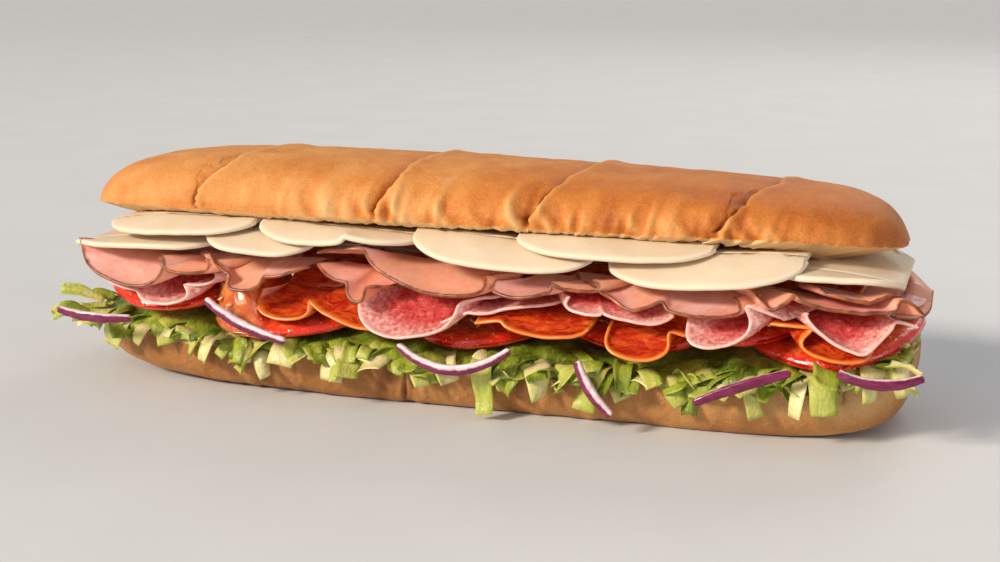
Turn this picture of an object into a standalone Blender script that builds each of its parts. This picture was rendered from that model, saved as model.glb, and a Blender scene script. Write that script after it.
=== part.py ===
"""A long submarine sandwich: a split roll with lettuce, onion, tomato, pepperoni, salami, ham and cheese.

X runs along the roll, the front faces -Y and the roll rests on Z = 0.
Lengths below are in millimetres, and add_object turns them into metres.
A pair of values named for the two ends of the roll is (left, right).
"""

import math

import bmesh
import bpy
import numpy as np

MM = 0.001

# The middle of the base, in the coordinates that the pieces are placed in
ORIGIN = (2.55, -0.36, -1.20)

# The top half of the roll
TOP_LENGTHS = (153.0, 149.0)
TOP_HALF_WIDTH = 39.0
TOP_PLAN_SHARPNESS = (4.6, 5.4)
TOP_PROFILE_SHARPNESS = (6.5, 11.0)
TOP_CUT_HEIGHT = 62.6
TOP_CUT_FALLS = (8.0, 10.0)
TOP_HEIGHT = 81.0
TOP_FALLS = (1.5, 5.6)
EDGE_HEIGHT = 1.2
EDGE_TUCK = 0.035
DOME_SIDE_POWER = 0.72
DOME_RISE_POWER = 0.86
SLASH_DEPTH = 2.6
SLASH_WIDTH = 5.0
SLASH_START_ANGLE = 0.22
SLASH_END_ANGLE = 1.97

# The bottom half of the roll
BOTTOM_LENGTHS = (153.0, 153.5)
BOTTOM_HALF_WIDTH = 38.4
BOTTOM_PLAN_SHARPNESS = (4.6, 10.0)
BOTTOM_PROFILE_SHARPNESS = (12.0, 30.0)
BOTTOM_CUT_HEIGHT = 15.6
BOTTOM_CUT_RISES = (5.0, 9.0)
FOOT_RISES = (4.2, 3.6)
FOOT_WIDTH_SHARE = 0.74
FOOT_POINT_SHARE = 0.34
BOWL_SIDE_POWER = 0.8
BOWL_RISE_POWER = 0.9

# The slices
CHEESE_THICKNESS = 1.9
HAM_THICKNESS = 1.5
SALAMI_THICKNESS = 1.3
PEPPERONI_THICKNESS = 1.3
CHEESE_FLAT_HALF_WIDTH = 34.0
MEAT_FLAT_HALF_WIDTH = 27.0
CHEESE_ROUNDING = 0.8
MEAT_ROUNDING = 0.15
MEAT_WAVE_INSIDE = 0.15
LAYER_LENGTHS = (160.0, 154.0)
FRONT_NARROWING = 0.4
BACK_REACH = 0.94
SETTLE_FROM = 30.0
SETTLE_TO = 61.0

# The tomatoes, the onion strips and the heap of lettuce
TOMATO_THICKNESS = 4.4
TOMATO_SAG = 6.6
TOMATO_STRETCH = 1.1
TOMATO_SKIN_BULGE = 1.3
ONION_WIDTH = 3.6
ONION_THICKNESS = 2.4
LETTUCE_TIPS = (-151.0, 157.0)
LETTUCE_LENGTHS = (164.5, 160.0)
LETTUCE_REACH = 43.8
LETTUCE_ROOF = 18.9
HEAP_HEIGHT = 6.0
HEAP_SHOULDER = 20.0

# Each slash runs from a place low on the front of the crust to a place past the ridge.
SLASHES = [(-97.0, -82.0), (-27.0, -15.0), (28.0, 44.0), (90.0, 109.0)]

# Each slice is its reach to the front, the height of its middle at the left and at the right, and the
# crests of its rim from left to right. A crest is (x, z), and after the first one the sag and the lean
# of the fold that leads up to it.
CHEESE = [
    (45.0, 54.0, 52.8, [(-147, 53.4), (-88, 52.0, 1.4, 0)]),
    (45.5, 60.8, 61.0, [(-130, 58.0), (-72, 60.2, 2.6, 0)]),
    (47.5, 57.0, 56.6, [(-90, 56.6), (-48, 54.4, 3.8, 0)]),
    (46.0, 61.0, 58.4, [(-70, 59.6), (-35, 59.4, 3.6, 0), (-10, 56.0, 0.4, 0)]),
    (48.5, 61.2, 57.0, [(-12, 60.0), (51, 56.4, 6.2, 0)]),
    (46.0, 61.2, 61.2, [(24, 60.4), (90, 60.6, 3.8, 0)]),
    (48.5, 55.0, 61.2, [(56, 54.8), (119, 58.6, 7.0, 0)]),
    (45.0, 55.9, 59.6, [(111, 52.4), (149, 52.6, -1.6, 0)]),
]
HAM = [
    (49.5, 46.4, 46.4, [(-143, 49.0), (-106, 49.0, 12.4, 1), (-90, 47.6, 6.0, -3)]),
    (48.0, 47.0, 47.0, [(-88, 49.6), (-77, 43.6, 1.0, 0), (-66, 43.8, 5.4, 0), (-50, 47.2, 1.4, 0)]),
    (49.5, 50.4, 48.6, [(-47, 52.6), (-28, 53.2, -2.2, 0), (14, 48.6, 8.6, 3)]),
    (49.0, 46.0, 46.0, [(-47, 48.6), (-34, 44.6, 2.2, 0), (-28, 43.2, 6.4, 0), (-18, 43.0, 0.6, 0)]),
    (48.0, 47.0, 47.0, [(18.5, 47.4), (37, 49.2, 5.2, -3), (51, 49.4, 3.2, 0)]),
    (48.5, 48.0, 48.0, [(52, 47.2), (66, 40.8, 0, 0), (76, 45.6, 0, 0), (97, 46.6, 5.2, 3)]),
    (
        48.0,
        48.4,
        48.4,
        [(103, 50.0), (111, 43.8, 0, 0), (118, 49.8, 0, 0), (149, 45.4, 2.2, 0), (156, 43.6, -3.8, 1)],
    ),
    (44.5, 51.4, 51.4, [(125, 51.0), (140, 47.8, 0.8, 0), (147, 49.8, 1.6, 0)]),
]
SALAMI = [
    (46.0, 42.0, 42.0, [(-131, 34.6), (-116, 34.6, 0, 0), (-100, 38.6, 5.4, 1), (-88, 42.0, 2.0, 0)]),
    (50.0, 43.8, 43.8, [(-31, 37.6), (5, 38.8, 11.6, -3), (15, 40.6, 0, 0)]),
    (46.0, 40.6, 40.6, [(-1, 30.2), (9, 35.4, -1.0, -1), (18, 36.8, 0.4, 0), (38, 39.6, 0, 0)]),
    (48.0, 45.2, 45.2, [(44, 43.0), (56, 40.6, 3.2, 1), (79, 39.0, 2.2, 0)]),
    (50.0, 45.4, 45.4, [(83, 38.4), (100, 45.6, 9.8, 0), (112, 40.8, 1.6, 0)]),
    (50.0, 45.2, 45.2, [(121, 42.6), (140, 31.8, 0.6, 0), (148, 40.6, 0, 0), (154, 38.8, -1.2, 0)]),
]
PEPPERONI = [
    (44.0, 38.0, 38.0, [(-70, 37.0), (-52, 35.4, 8.4, -2), (-22, 26.6, 2.6, -2)]),
    (46.0, 39.0, 39.0, [(11, 31.2), (21, 33.6, -0.6, 0), (50, 32.4, 3.0, 0)]),
    (48.0, 43.2, 43.2, [(57.5, 34.6), (76, 34.6, 9.6, 0), (87, 31.2, 0, 0)]),
    (48.0, 42.4, 42.4, [(109, 36.8), (124, 37.8, -0.8, 0), (141, 30.6, 4.8, -3)]),
]

# Each tomato slice is the x and y of its middle, its radius, its height and its rise to the left.
TOMATOES = [
    (-112.0, -3.0, 32.5, 35.8, 0.03),
    (-58.0, -3.0, 32.0, 30.2, -0.01),
    (5.0, -3.0, 30.0, 29.2, 0.00),
    (61.0, -3.0, 30.0, 32.4, 0.06),
    (93.0, -3.0, 28.0, 36.8, 0.02),
    (124.5, -3.0, 30.0, 31.8, -0.06),
]

# Each onion strip bends through three points.
ONIONS = [
    ((-147, -46.5, 26.6), (-132, -51.0, 24.6), (-117, -47.0, 25.4)),
    ((-87, -46.5, 34.4), (-75, -49.5, 25.8), (-56, -48.0, 21.8)),
    ((-15, -47.0, 23.8), (5, -52.0, 9.8), (25, -47.0, 25.0)),
    ((48, -47.5, 23.4), (51, -50.5, 14.4), (60, -49.0, 6.4)),
    ((87, -50.5, 13.4), (102, -50.0, 20.8), (117, -47.5, 25.0)),
    ((131, -46.5, 26.0), (145, -50.0, 21.2), (157, -45.0, 26.2)),
    ((-96, 47.5, 23.4), (-78, 51.5, 13.4), (-62, 47.5, 22.4)),
    ((-20, 48.0, 20.4), (-8, 50.5, 11.4), (-2, 49.5, 5.4)),
    ((36, 47.5, 22.4), (58, 52.0, 12.4), (76, 47.5, 23.0)),
    ((112, 47.0, 24.4), (128, 50.5, 17.4), (141, 46.5, 25.0)),
]

LOOKS = {
    "crust_top": ((0.62, 0.33, 0.13), 0.45),
    "crust_bottom": ((0.42, 0.21, 0.08), 0.5),
    "cheese": ((0.90, 0.80, 0.56), 0.35),
    "ham": ((0.85, 0.47, 0.42), 0.35),
    "salami": ((0.72, 0.24, 0.24), 0.35),
    "pepperoni": ((0.76, 0.16, 0.04), 0.3),
    "tomato": ((0.62, 0.04, 0.02), 0.2),
    "onion": ((0.72, 0.42, 0.62), 0.3),
    "lettuce": ((0.50, 0.60, 0.16), 0.4),
}


def clear_scene():
    for obj in list(bpy.data.objects):
        bpy.data.objects.remove(obj)


def material(name):
    """A plain look shared by all pieces of one kind."""
    found = bpy.data.materials.get(name)
    if found:
        return found
    colour, roughness = LOOKS[name]
    made = bpy.data.materials.new(name)
    made.use_nodes = True
    shader = made.node_tree.nodes["Principled BSDF"]
    shader.inputs["Base Color"].default_value = (*colour, 1.0)
    shader.inputs["Roughness"].default_value = roughness
    made.diffuse_color = (*colour, 1.0)
    return made


def add_object(name, points, faces, look):
    """One closed mesh from points in millimetres."""
    mesh = bpy.data.meshes.new(name)
    placed = [tuple(float(c - o) * MM for c, o in zip(point, ORIGIN)) for point in points]
    mesh.from_pydata(placed, [], faces)
    shape = bmesh.new()
    shape.from_mesh(mesh)
    bmesh.ops.recalc_face_normals(shape, faces=shape.faces)
    for face in shape.faces:
        face.smooth = True
    shape.to_mesh(mesh)
    shape.free()
    mesh.materials.append(material(look))
    obj = bpy.data.objects.new(name, mesh)
    bpy.context.scene.collection.objects.link(obj)
    return obj


def loft(name, rings, look):
    """Skins rings that have equally many points and closes the first and the last one."""
    count = len(rings[0])
    points = [point for ring in rings for point in ring]
    faces = []
    for k in range(len(rings) - 1):
        for i in range(count):
            j = (i + 1) % count
            faces.append((k * count + i, k * count + j, (k + 1) * count + j, (k + 1) * count + i))
    faces.append(tuple(range(count)))
    last = (len(rings) - 1) * count
    faces.append(tuple(last + i for i in range(count)))
    return add_object(name, points, faces, look)


def past(x, start, full):
    """0 up to start, and 1 at full."""
    return max(0.0, (x - start) / (full - start))


def end_taper(x, lengths, sharpness):
    """1 along the roll and 0 at its two ends, with a blunter end for a greater sharpness."""
    end = 0 if x < 0 else 1
    share = min(1.0, abs(x) / lengths[end])
    return math.sqrt(1.0 - share ** sharpness[end])


def top_half_width(x):
    return TOP_HALF_WIDTH * end_taper(x, TOP_LENGTHS, TOP_PLAN_SHARPNESS)


def bottom_half_width(x):
    return BOTTOM_HALF_WIDTH * end_taper(x, BOTTOM_LENGTHS, BOTTOM_PLAN_SHARPNESS)


def top_cut(x):
    """The height of the cut face of the top half."""
    left = TOP_CUT_FALLS[0] * past(-x, 95, 153) ** 3
    right = TOP_CUT_FALLS[1] * past(x, 25, 149) ** 5
    return TOP_CUT_HEIGHT - left - right


def top_apex(x):
    """The height of the ridge of the top half."""
    left = TOP_FALLS[0] * past(-x, 70, 149) ** 2
    right = TOP_FALLS[1] * past(x, -50, 149) ** 1.4
    return TOP_HEIGHT - left - right


def bottom_cut(x):
    """The height of the cut face of the bottom half."""
    left = BOTTOM_CUT_RISES[0] * past(-x, 90, 149) ** 2
    right = BOTTOM_CUT_RISES[1] * past(x, 85, 149) ** 2
    return BOTTOM_CUT_HEIGHT + left + right


def underside(x):
    """The height of the foot, which lifts towards both ends."""
    left = FOOT_RISES[0] * past(-x, 40, 149) ** 1.8
    right = FOOT_RISES[1] * past(x, 100, 149) ** 2
    return ORIGIN[2] + left + right


def stations(count, lengths):
    """Places along the roll, closer together towards its ends."""
    places = []
    for k in range(count):
        share = 0.9985 * math.sin(math.pi / 2 * (2 * k / (count - 1) - 1))
        places.append(share * lengths[0 if share < 0 else 1])
    return places


def crust_point(x, angle):
    """The (y, z) of the crust of the top half, from its front cut edge at 0 over the ridge at pi / 2."""
    cut = top_cut(x)
    height = (top_apex(x) - cut) * end_taper(x, TOP_LENGTHS, TOP_PROFILE_SHARPNESS) + EDGE_HEIGHT
    side = -math.copysign(abs(math.cos(angle)) ** DOME_SIDE_POWER, math.cos(angle))
    rise = abs(math.sin(angle)) ** DOME_RISE_POWER
    tuck = 1.0 - EDGE_TUCK * max(0.0, 1.0 - 4.0 * rise)
    return side * top_half_width(x) * tuck, cut + height * rise


def top_section(x, count):
    """The domed outline of the top half at x, from its front cut edge over to its back cut edge."""
    return [(x, *crust_point(x, math.pi * k / (count - 1))) for k in range(count)]


def bottom_section(x, count):
    """The bowl-shaped outline of the bottom half at x, from its front cut edge under to its back cut edge."""
    width = bottom_half_width(x)
    foot = width * FOOT_WIDTH_SHARE
    cut = bottom_cut(x)
    depth = (cut - underside(x)) * end_taper(x, BOTTOM_LENGTHS, BOTTOM_PROFILE_SHARPNESS)
    ring = []
    for k in range(count):
        share = 2.0 * k / (count - 1) - 1.0
        if abs(share) < FOOT_POINT_SHARE:
            ring.append((x, foot * share / FOOT_POINT_SHARE, cut - depth))
        else:
            turn = (abs(share) - FOOT_POINT_SHARE) / (1.0 - FOOT_POINT_SHARE) * math.pi / 2
            out = foot + (width - foot) * math.sin(turn) ** BOWL_SIDE_POWER
            low = cut - depth * math.cos(turn) ** BOWL_RISE_POWER
            ring.append((x, math.copysign(out, share), low))
    return ring


def slash_cutter(index, low, high):
    """A slender curved wedge that opens one slash in the crust."""
    rings = []
    count = 11
    for k in range(count):
        share = k / (count - 1)
        angle = SLASH_START_ANGLE + (SLASH_END_ANGLE - SLASH_START_ANGLE) * share
        x = low + (high - low) * share ** 0.8
        place = np.array(crust_point(x, angle))
        along = np.array(crust_point(x, angle + 0.02)) - place
        along /= np.linalg.norm(along)
        out = np.array([-along[1], along[0]])
        bow = math.sin(math.pi * share) ** 0.7
        foot = place - out * (0.3 + SLASH_DEPTH * bow)
        lip = place + out * 2.0
        width = 0.3 + SLASH_WIDTH * bow
        rings.append([(x + 0.15 * width, *lip), (x - 0.85 * width, *lip), (x - 0.1 * width, *foot)])
    cutter = loft(f"slash_cutter_{index}", rings, "crust_top")
    cutter.hide_render = True
    cutter.display_type = "WIRE"
    return cutter


def add_roll():
    """The two halves of the roll, with slashes across the top one."""
    top = loft("bun_top", [top_section(x, 15) for x in stations(27, TOP_LENGTHS)], "crust_top")
    for index, (low, high) in enumerate(SLASHES):
        cut = top.modifiers.new(f"slash_{index}", "BOOLEAN")
        cut.operation = "DIFFERENCE"
        cut.solver = "EXACT"
        cut.object = slash_cutter(index, low, high)
    loft("bun_bottom", [bottom_section(x, 14) for x in stations(25, BOTTOM_LENGTHS)], "crust_bottom")


def rim_points(crests, step):
    """The rim of a folded slice: half an ellipse hangs from each crest to the next one."""
    points = [crests[0][:2]]
    for (x0, z0, *_), (x1, z1, sag, lean) in zip(crests, crests[1:]):
        length = math.hypot(x1 - x0, z1 - z0) + 1.6 * abs(sag)
        count = max(2, round(length / step))
        for k in range(1, count + 1):
            angle = math.pi * (k / count - 0.5) if sag else 0.0
            share = (1 + math.sin(angle)) / 2 if sag else k / count
            bulge = max(0.0, math.cos(angle)) ** 0.8 if sag else 0.0
            points.append((x0 + (x1 - x0) * share + lean * bulge, z0 + (z1 - z0) * share - sag * bulge))
    return points


def back_place(x, z):
    """Where the back rim lies for a place on the front rim: the same layers, folded a little otherwise."""
    return x + 6.0 * math.sin(x / 37.0 + 1.0), z + 1.2 * math.sin(x / 23.0 + 2.0)


def end_narrowing(x):
    """How much narrower the layers are towards the two ends of the roll."""
    share = min(1.0, abs(x) / LAYER_LENGTHS[0 if x < 0 else 1])
    return math.sqrt(max(0.2, 1.0 - share**8))


def settled(x, height):
    """The height of a layer at x where the top half of the roll presses it down."""
    pressed = (height - SETTLE_FROM) / (SETTLE_TO - SETTLE_FROM)
    return height + (top_cut(x) - TOP_CUT_HEIGHT) * pressed


def slice_rows(rim, reach, left, right, flat_half_width, rounding, wave):
    """The middle surface of a slice as five rows of points, from its front rim to its back rim."""
    x_low = rim[0][0]
    x_high = rim[-1][0]
    travelled = [0.0]
    for (xa, za), (xb, zb) in zip(rim, rim[1:]):
        travelled.append(travelled[-1] + math.hypot(xb - xa, zb - za))
    rows = np.zeros((5, len(rim), 3))
    for i, (x, z) in enumerate(rim):
        share = travelled[i] / travelled[-1]
        even = 0.5 * share + 0.5 * (x - x_low) / (x_high - x_low)
        even = min(1.0, max(0.0, even))
        middle_x = x_low + (x_high - x_low) * even
        middle_z = settled(middle_x, left + (right - left) * even)
        corner = 1.0 - rounding * abs(2 * share - 1) ** 4
        out = flat_half_width + (reach - flat_half_width) * corner
        narrow = end_narrowing(middle_x)
        ahead = 1.0 - FRONT_NARROWING * (1.0 - narrow)
        z = middle_z + (z - middle_z) * (0.3 + 0.7 * corner)
        flat_z = middle_z + wave * (z - middle_z)
        back_x, back_z = back_place(x, z)
        shoulder = 0.42 * flat_half_width + 0.58 * out
        rows[0, i] = (x, -out * ahead, z)
        rows[1, i] = (0.55 * x + 0.45 * middle_x, -shoulder * ahead, 0.45 * z + 0.55 * flat_z)
        rows[2, i] = (middle_x, -flat_half_width * ahead, flat_z)
        rows[3, i] = (middle_x, flat_half_width * narrow, flat_z)
        rows[4, i] = (back_x, BACK_REACH * out * narrow, back_z)
    return rows


def thick_sheet(name, grid, thickness, look):
    """A closed sheet of even thickness around a grid of points."""
    normal = np.cross(np.gradient(grid, axis=1), np.gradient(grid, axis=0))
    normal /= np.linalg.norm(normal, axis=2, keepdims=True)
    upper = grid + normal * thickness / 2
    lower = grid - normal * thickness / 2
    points = list(upper.reshape(-1, 3)) + list(lower.reshape(-1, 3))
    rows, count = grid.shape[:2]
    base = rows * count
    faces = []
    for r in range(rows - 1):
        for i in range(count - 1):
            a = r * count + i
            b = a + 1
            c = b + count
            d = a + count
            faces.append((a, b, c, d))
            faces.append((base + a, base + d, base + c, base + b))
    edge = list(range(count))
    edge += [r * count + count - 1 for r in range(1, rows)]
    edge += [(rows - 1) * count + i for i in range(count - 2, -1, -1)]
    edge += [r * count for r in range(rows - 2, 0, -1)]
    for a, b in zip(edge, edge[1:] + edge[:1]):
        faces.append((a, b, base + b, base + a))
    add_object(name, points, faces, look)


def add_slices(kind, slices, thickness, step, flat_half_width, rounding, wave):
    for index, (reach, left, right, crests) in enumerate(slices):
        rows = slice_rows(rim_points(crests, step), reach, left, right, flat_half_width, rounding, wave)
        thick_sheet(f"{kind}_{index + 1}", rows, thickness, kind)


def add_meats():
    folds = (MEAT_FLAT_HALF_WIDTH, MEAT_ROUNDING, MEAT_WAVE_INSIDE)
    add_slices("ham", HAM, HAM_THICKNESS, 4.7, *folds)
    add_slices("salami", SALAMI, SALAMI_THICKNESS, 5.6, *folds)
    add_slices("pepperoni", PEPPERONI, PEPPERONI_THICKNESS, 6.0, *folds)


def add_tomatoes():
    """Round slices, each a little tilted, that droop to the front and to the back."""
    count = 12
    half = TOMATO_THICKNESS / 2
    for index, (x, y, radius, height, rise) in enumerate(TOMATOES):
        rings = []
        for k in range(count):
            angle = math.pi * ((k + 0.2) / (count - 0.6) - 0.5)
            chord = radius * math.cos(angle)
            flat = max(0.3 * chord, chord - TOMATO_SKIN_BULGE)
            sag = TOMATO_SAG * math.sin(angle) ** 2
            lower = [(-chord, 0.0), (-flat, -half), (flat, -half)]
            upper = [(chord, 0.0), (flat, half), (-flat, half)]
            out = y + TOMATO_STRETCH * radius * math.sin(angle)
            rings.append([(x + px, out, height + offset - rise * px - sag) for px, offset in lower + upper])
        loft(f"tomato_{index + 1}", rings, "tomato")


def add_onions():
    """Bent strips with a four-sided section."""
    count = 9
    for index, bend in enumerate(ONIONS):
        start, middle, end = (np.array(point, float) for point in bend)
        outward = np.array([0.0, math.copysign(1.0, middle[1]), 0.0])
        rings = []
        for k in range(count):
            share = k / (count - 1)
            place = (1 - share) ** 2 * start + 2 * share * (1 - share) * middle + share**2 * end
            heading = (1 - share) * (middle - start) + share * (end - middle)
            heading /= np.linalg.norm(heading)
            side = np.cross(heading, outward)
            side /= np.linalg.norm(side)
            face = np.cross(side, heading)
            slim = 0.7 + 0.3 * math.sin(math.pi * share)
            w = side * ONION_WIDTH * slim / 2
            t = face * ONION_THICKNESS / 2
            rings.append([place + w + t, place + w - t, place - w - t, place - w + t])
        loft(f"onion_{index + 1}", rings, "onion")


def tip_height(x, side):
    """How low the shreds hang over the edge of the bottom half at x."""
    wave = math.sin(x / 5.3 + 2 * side) + math.sin(x / 8.9 + 1.0 - side) + math.sin(x / 17.0 + 3 * side)
    return 12.0 + 2.8 * wave


def lettuce_roof(x):
    """The height of the front and back of the heap of lettuce, under the tomatoes."""
    left = 4.5 * min(1.0, past(-x, 88, 100))
    right = 2.4 * min(1.0, past(x, 92, 102))
    return LETTUCE_ROOF + left + right + 0.2 * math.sin(x / 6.0)


def lettuce_half(x, side):
    """Half of the outline of the heap at x, from its crown out to the hanging tips and in again below."""
    inside = max(-BOTTOM_LENGTHS[0], min(x, BOTTOM_LENGTHS[1]))
    floor = bottom_cut(inside) + 0.7
    roof = max(lettuce_roof(x), floor + 1.5)
    narrow = end_taper(x, LETTUCE_LENGTHS, (9.0, 9.0))
    lift = (1 - narrow) * (9.0 if x < 0 else 18.0)
    tip = max(3.0, min(tip_height(x, side), floor - 1.0)) + lift
    reach = LETTUCE_REACH * (0.42 + 0.58 * narrow) + math.sin(x / 7.0 + side)
    edge = bottom_half_width(0.95 * inside) + 2.0
    return [
        (x, side * 3.0, roof + HEAP_HEIGHT * narrow),
        (x, side * HEAP_SHOULDER * narrow, roof + 0.4 * HEAP_HEIGHT * narrow),
        (x, side * (reach - 8.0), roof),
        (x, side * reach, roof - 2.5),
        (x, side * (reach + 1.2), tip + 1.5),
        (x, side * (reach - 1.6), tip),
        (x, side * (edge + 0.5), floor - 0.4),
        (x, side * (edge - 5.0), floor),
    ]


def add_lettuce():
    """The whole heap of shreds, out to the tips that hang over the bottom half."""
    count = 34
    low, high = LETTUCE_TIPS
    rings = []
    for k in range(count):
        x = low + (high - low) * k / (count - 1)
        rings.append(lettuce_half(x, -1) + lettuce_half(x, 1)[::-1])
    loft("lettuce", rings, "lettuce")


clear_scene()
add_roll()
add_slices("cheese", CHEESE, CHEESE_THICKNESS, 9.0, CHEESE_FLAT_HALF_WIDTH, CHEESE_ROUNDING, 0.0)
add_meats()
add_tomatoes()
add_onions()
add_lettuce()
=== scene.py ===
"""Finishes the submarine sandwich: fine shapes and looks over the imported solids.

Lengths are millimetres in the coordinates that the solids were placed in: X runs along the roll and the
front faces -Y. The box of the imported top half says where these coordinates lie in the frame.
A pair of values named for the two ends of the roll is (left, right).
"""

import math

import bmesh
import bpy
import numpy as np
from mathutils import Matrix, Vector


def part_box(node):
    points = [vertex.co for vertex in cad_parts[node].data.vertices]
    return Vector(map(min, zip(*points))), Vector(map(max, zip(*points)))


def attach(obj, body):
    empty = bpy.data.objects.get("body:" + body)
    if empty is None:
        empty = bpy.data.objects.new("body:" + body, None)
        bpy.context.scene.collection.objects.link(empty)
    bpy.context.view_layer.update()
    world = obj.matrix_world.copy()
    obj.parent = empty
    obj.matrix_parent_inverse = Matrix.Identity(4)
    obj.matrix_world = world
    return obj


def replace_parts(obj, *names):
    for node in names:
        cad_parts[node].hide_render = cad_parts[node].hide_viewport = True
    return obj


MM = 0.001

# The roll, as in the solids
TOP_LENGTHS = (153.0, 149.0)
TOP_HALF_WIDTH = 39.0
TOP_PLAN_SHARPNESS = (4.6, 5.4)
TOP_PROFILE_SHARPNESS = (6.5, 11.0)
TOP_CUT_HEIGHT = 62.6
TOP_CUT_FALLS = (8.0, 10.0)
TOP_HEIGHT = 81.0
TOP_FALLS = (1.5, 5.6)
EDGE_HEIGHT = 1.2
EDGE_TUCK = 0.035
DOME_SIDE_POWER = 0.72
DOME_RISE_POWER = 0.86
SLASH_START_ANGLE = 0.22
SLASH_END_ANGLE = 1.97
BOTTOM_LENGTHS = (153.0, 153.5)
BOTTOM_HALF_WIDTH = 38.4
BOTTOM_PLAN_SHARPNESS = (4.6, 10.0)
BOTTOM_PROFILE_SHARPNESS = (12.0, 30.0)
BOTTOM_CUT_HEIGHT = 15.6
BOTTOM_CUT_RISES = (5.0, 9.0)
FOOT_HEIGHT = -1.2
FOOT_RISES = (4.2, 3.6)
FOOT_WIDTH_SHARE = 0.74
FOOT_POINT_SHARE = 0.34
BOWL_SIDE_POWER = 0.8
BOWL_RISE_POWER = 0.9

# The fillings, as in the solids
CHEESE_THICKNESS = 2.1
HAM_THICKNESS = 1.25
SALAMI_THICKNESS = 1.1
PEPPERONI_THICKNESS = 1.1
CHEESE_FLAT_HALF_WIDTH = 34.0
MEAT_FLAT_HALF_WIDTH = 27.0
CHEESE_ROUNDING = 0.8
MEAT_ROUNDING = 0.15
MEAT_WAVE_INSIDE = 0.15
LAYER_LENGTHS = (160.0, 154.0)
FRONT_NARROWING = 0.4
BACK_REACH = 0.94
SETTLE_FROM = 30.0
SETTLE_TO = 61.0
TOMATO_THICKNESS = 4.4
TOMATO_SAG = 6.6
TOMATO_STRETCH = 1.1
ONION_WIDTH = 3.6
ONION_THICKNESS = 2.4
LETTUCE_ROOF = 18.9
HEAP_HEIGHT = 6.0

# Each slash runs from a place low on the front of the crust to a place past the ridge, with the depth
# of its dip, the height of its lip, the width of the dip, and the width of the torn floor beside it.
SLASHES = [
    (-96.0, -80.0, 2.0, 0.9, 3.0, 8.0),
    (-26.0, -15.0, 3.6, 1.5, 2.6, 0.0),
    (28.5, 44.0, 3.6, 1.4, 2.8, 2.0),
    (90.0, 109.0, 2.7, 1.3, 3.0, 5.5),
]

# Each slice is its reach to the front, the height of its middle at the left and at the right, and the
# crests of its rim from left to right. A crest is (x, z), and after the first one the sag and the lean
# of the fold that leads up to it.
CHEESE = [
    (45.0, 54.0, 52.8, [(-147, 53.4), (-88, 52.0, 1.4, 0)]),
    (45.5, 60.8, 61.0, [(-130, 58.0), (-72, 60.2, 2.6, 0)]),
    (47.5, 57.0, 56.6, [(-90, 56.6), (-48, 54.4, 3.8, 0)]),
    (46.0, 61.0, 58.4, [(-70, 59.6), (-35, 59.4, 3.6, 0), (-10, 56.0, 0.4, 0)]),
    (48.5, 61.2, 57.0, [(-12, 60.0), (51, 56.4, 6.2, 0)]),
    (46.0, 61.2, 61.2, [(24, 60.4), (90, 60.6, 3.8, 0)]),
    (48.5, 55.0, 61.2, [(56, 54.8), (119, 58.6, 7.0, 0)]),
    (45.0, 55.9, 59.6, [(111, 52.4), (149, 52.6, -1.6, 0)]),
]
HAM = [
    (49.5, 46.4, 46.4, [(-143, 49.0), (-106, 49.0, 12.4, 1), (-90, 47.6, 6.0, -3)]),
    (48.0, 47.0, 47.0, [(-88, 49.6), (-77, 43.6, 1.0, 0), (-66, 43.8, 5.4, 0), (-50, 47.2, 1.4, 0)]),
    (49.5, 50.4, 48.6, [(-47, 52.6), (-28, 53.2, -2.2, 0), (14, 48.6, 8.6, 3)]),
    (49.0, 46.0, 46.0, [(-47, 48.6), (-34, 44.6, 2.2, 0), (-28, 43.2, 6.4, 0), (-18, 43.0, 0.6, 0)]),
    (48.0, 47.0, 47.0, [(18.5, 47.4), (37, 49.2, 5.2, -3), (51, 49.4, 3.2, 0)]),
    (48.5, 48.0, 48.0, [(52, 47.2), (66, 40.8, 0, 0), (76, 45.6, 0, 0), (97, 46.6, 5.2, 3)]),
    (
        48.0,
        48.4,
        48.4,
        [(103, 50.0), (111, 43.8, 0, 0), (118, 49.8, 0, 0), (149, 45.4, 2.2, 0), (156, 43.6, -3.8, 1)],
    ),
    (44.5, 51.4, 51.4, [(125, 51.0), (140, 47.8, 0.8, 0), (147, 49.8, 1.6, 0)]),
]
SALAMI = [
    (46.0, 42.0, 42.0, [(-131, 34.6), (-116, 34.6, 0, 0), (-100, 38.6, 5.4, 1), (-88, 42.0, 2.0, 0)]),
    (50.0, 43.8, 43.8, [(-31, 37.6), (5, 38.8, 11.6, -3), (15, 40.6, 0, 0)]),
    (46.0, 40.6, 40.6, [(-1, 30.2), (9, 35.4, -1.0, -1), (18, 36.8, 0.4, 0), (38, 39.6, 0, 0)]),
    (48.0, 45.2, 45.2, [(44, 43.0), (56, 40.6, 3.2, 1), (79, 39.0, 2.2, 0)]),
    (50.0, 45.4, 45.4, [(83, 38.4), (100, 45.6, 9.8, 0), (112, 40.8, 1.6, 0)]),
    (50.0, 45.2, 45.2, [(121, 42.6), (140, 31.8, 0.6, 0), (148, 40.6, 0, 0), (154, 38.8, -1.2, 0)]),
]
PEPPERONI = [
    (44.0, 38.0, 38.0, [(-70, 37.0), (-52, 35.4, 8.4, -2), (-22, 26.6, 2.6, -2)]),
    (46.0, 39.0, 39.0, [(11, 31.2), (21, 33.6, -0.6, 0), (50, 32.4, 3.0, 0)]),
    (48.0, 43.2, 43.2, [(57.5, 34.6), (76, 34.6, 9.6, 0), (87, 31.2, 0, 0)]),
    (48.0, 42.4, 42.4, [(109, 36.8), (124, 37.8, -0.8, 0), (141, 30.6, 4.8, -3)]),
]

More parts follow.
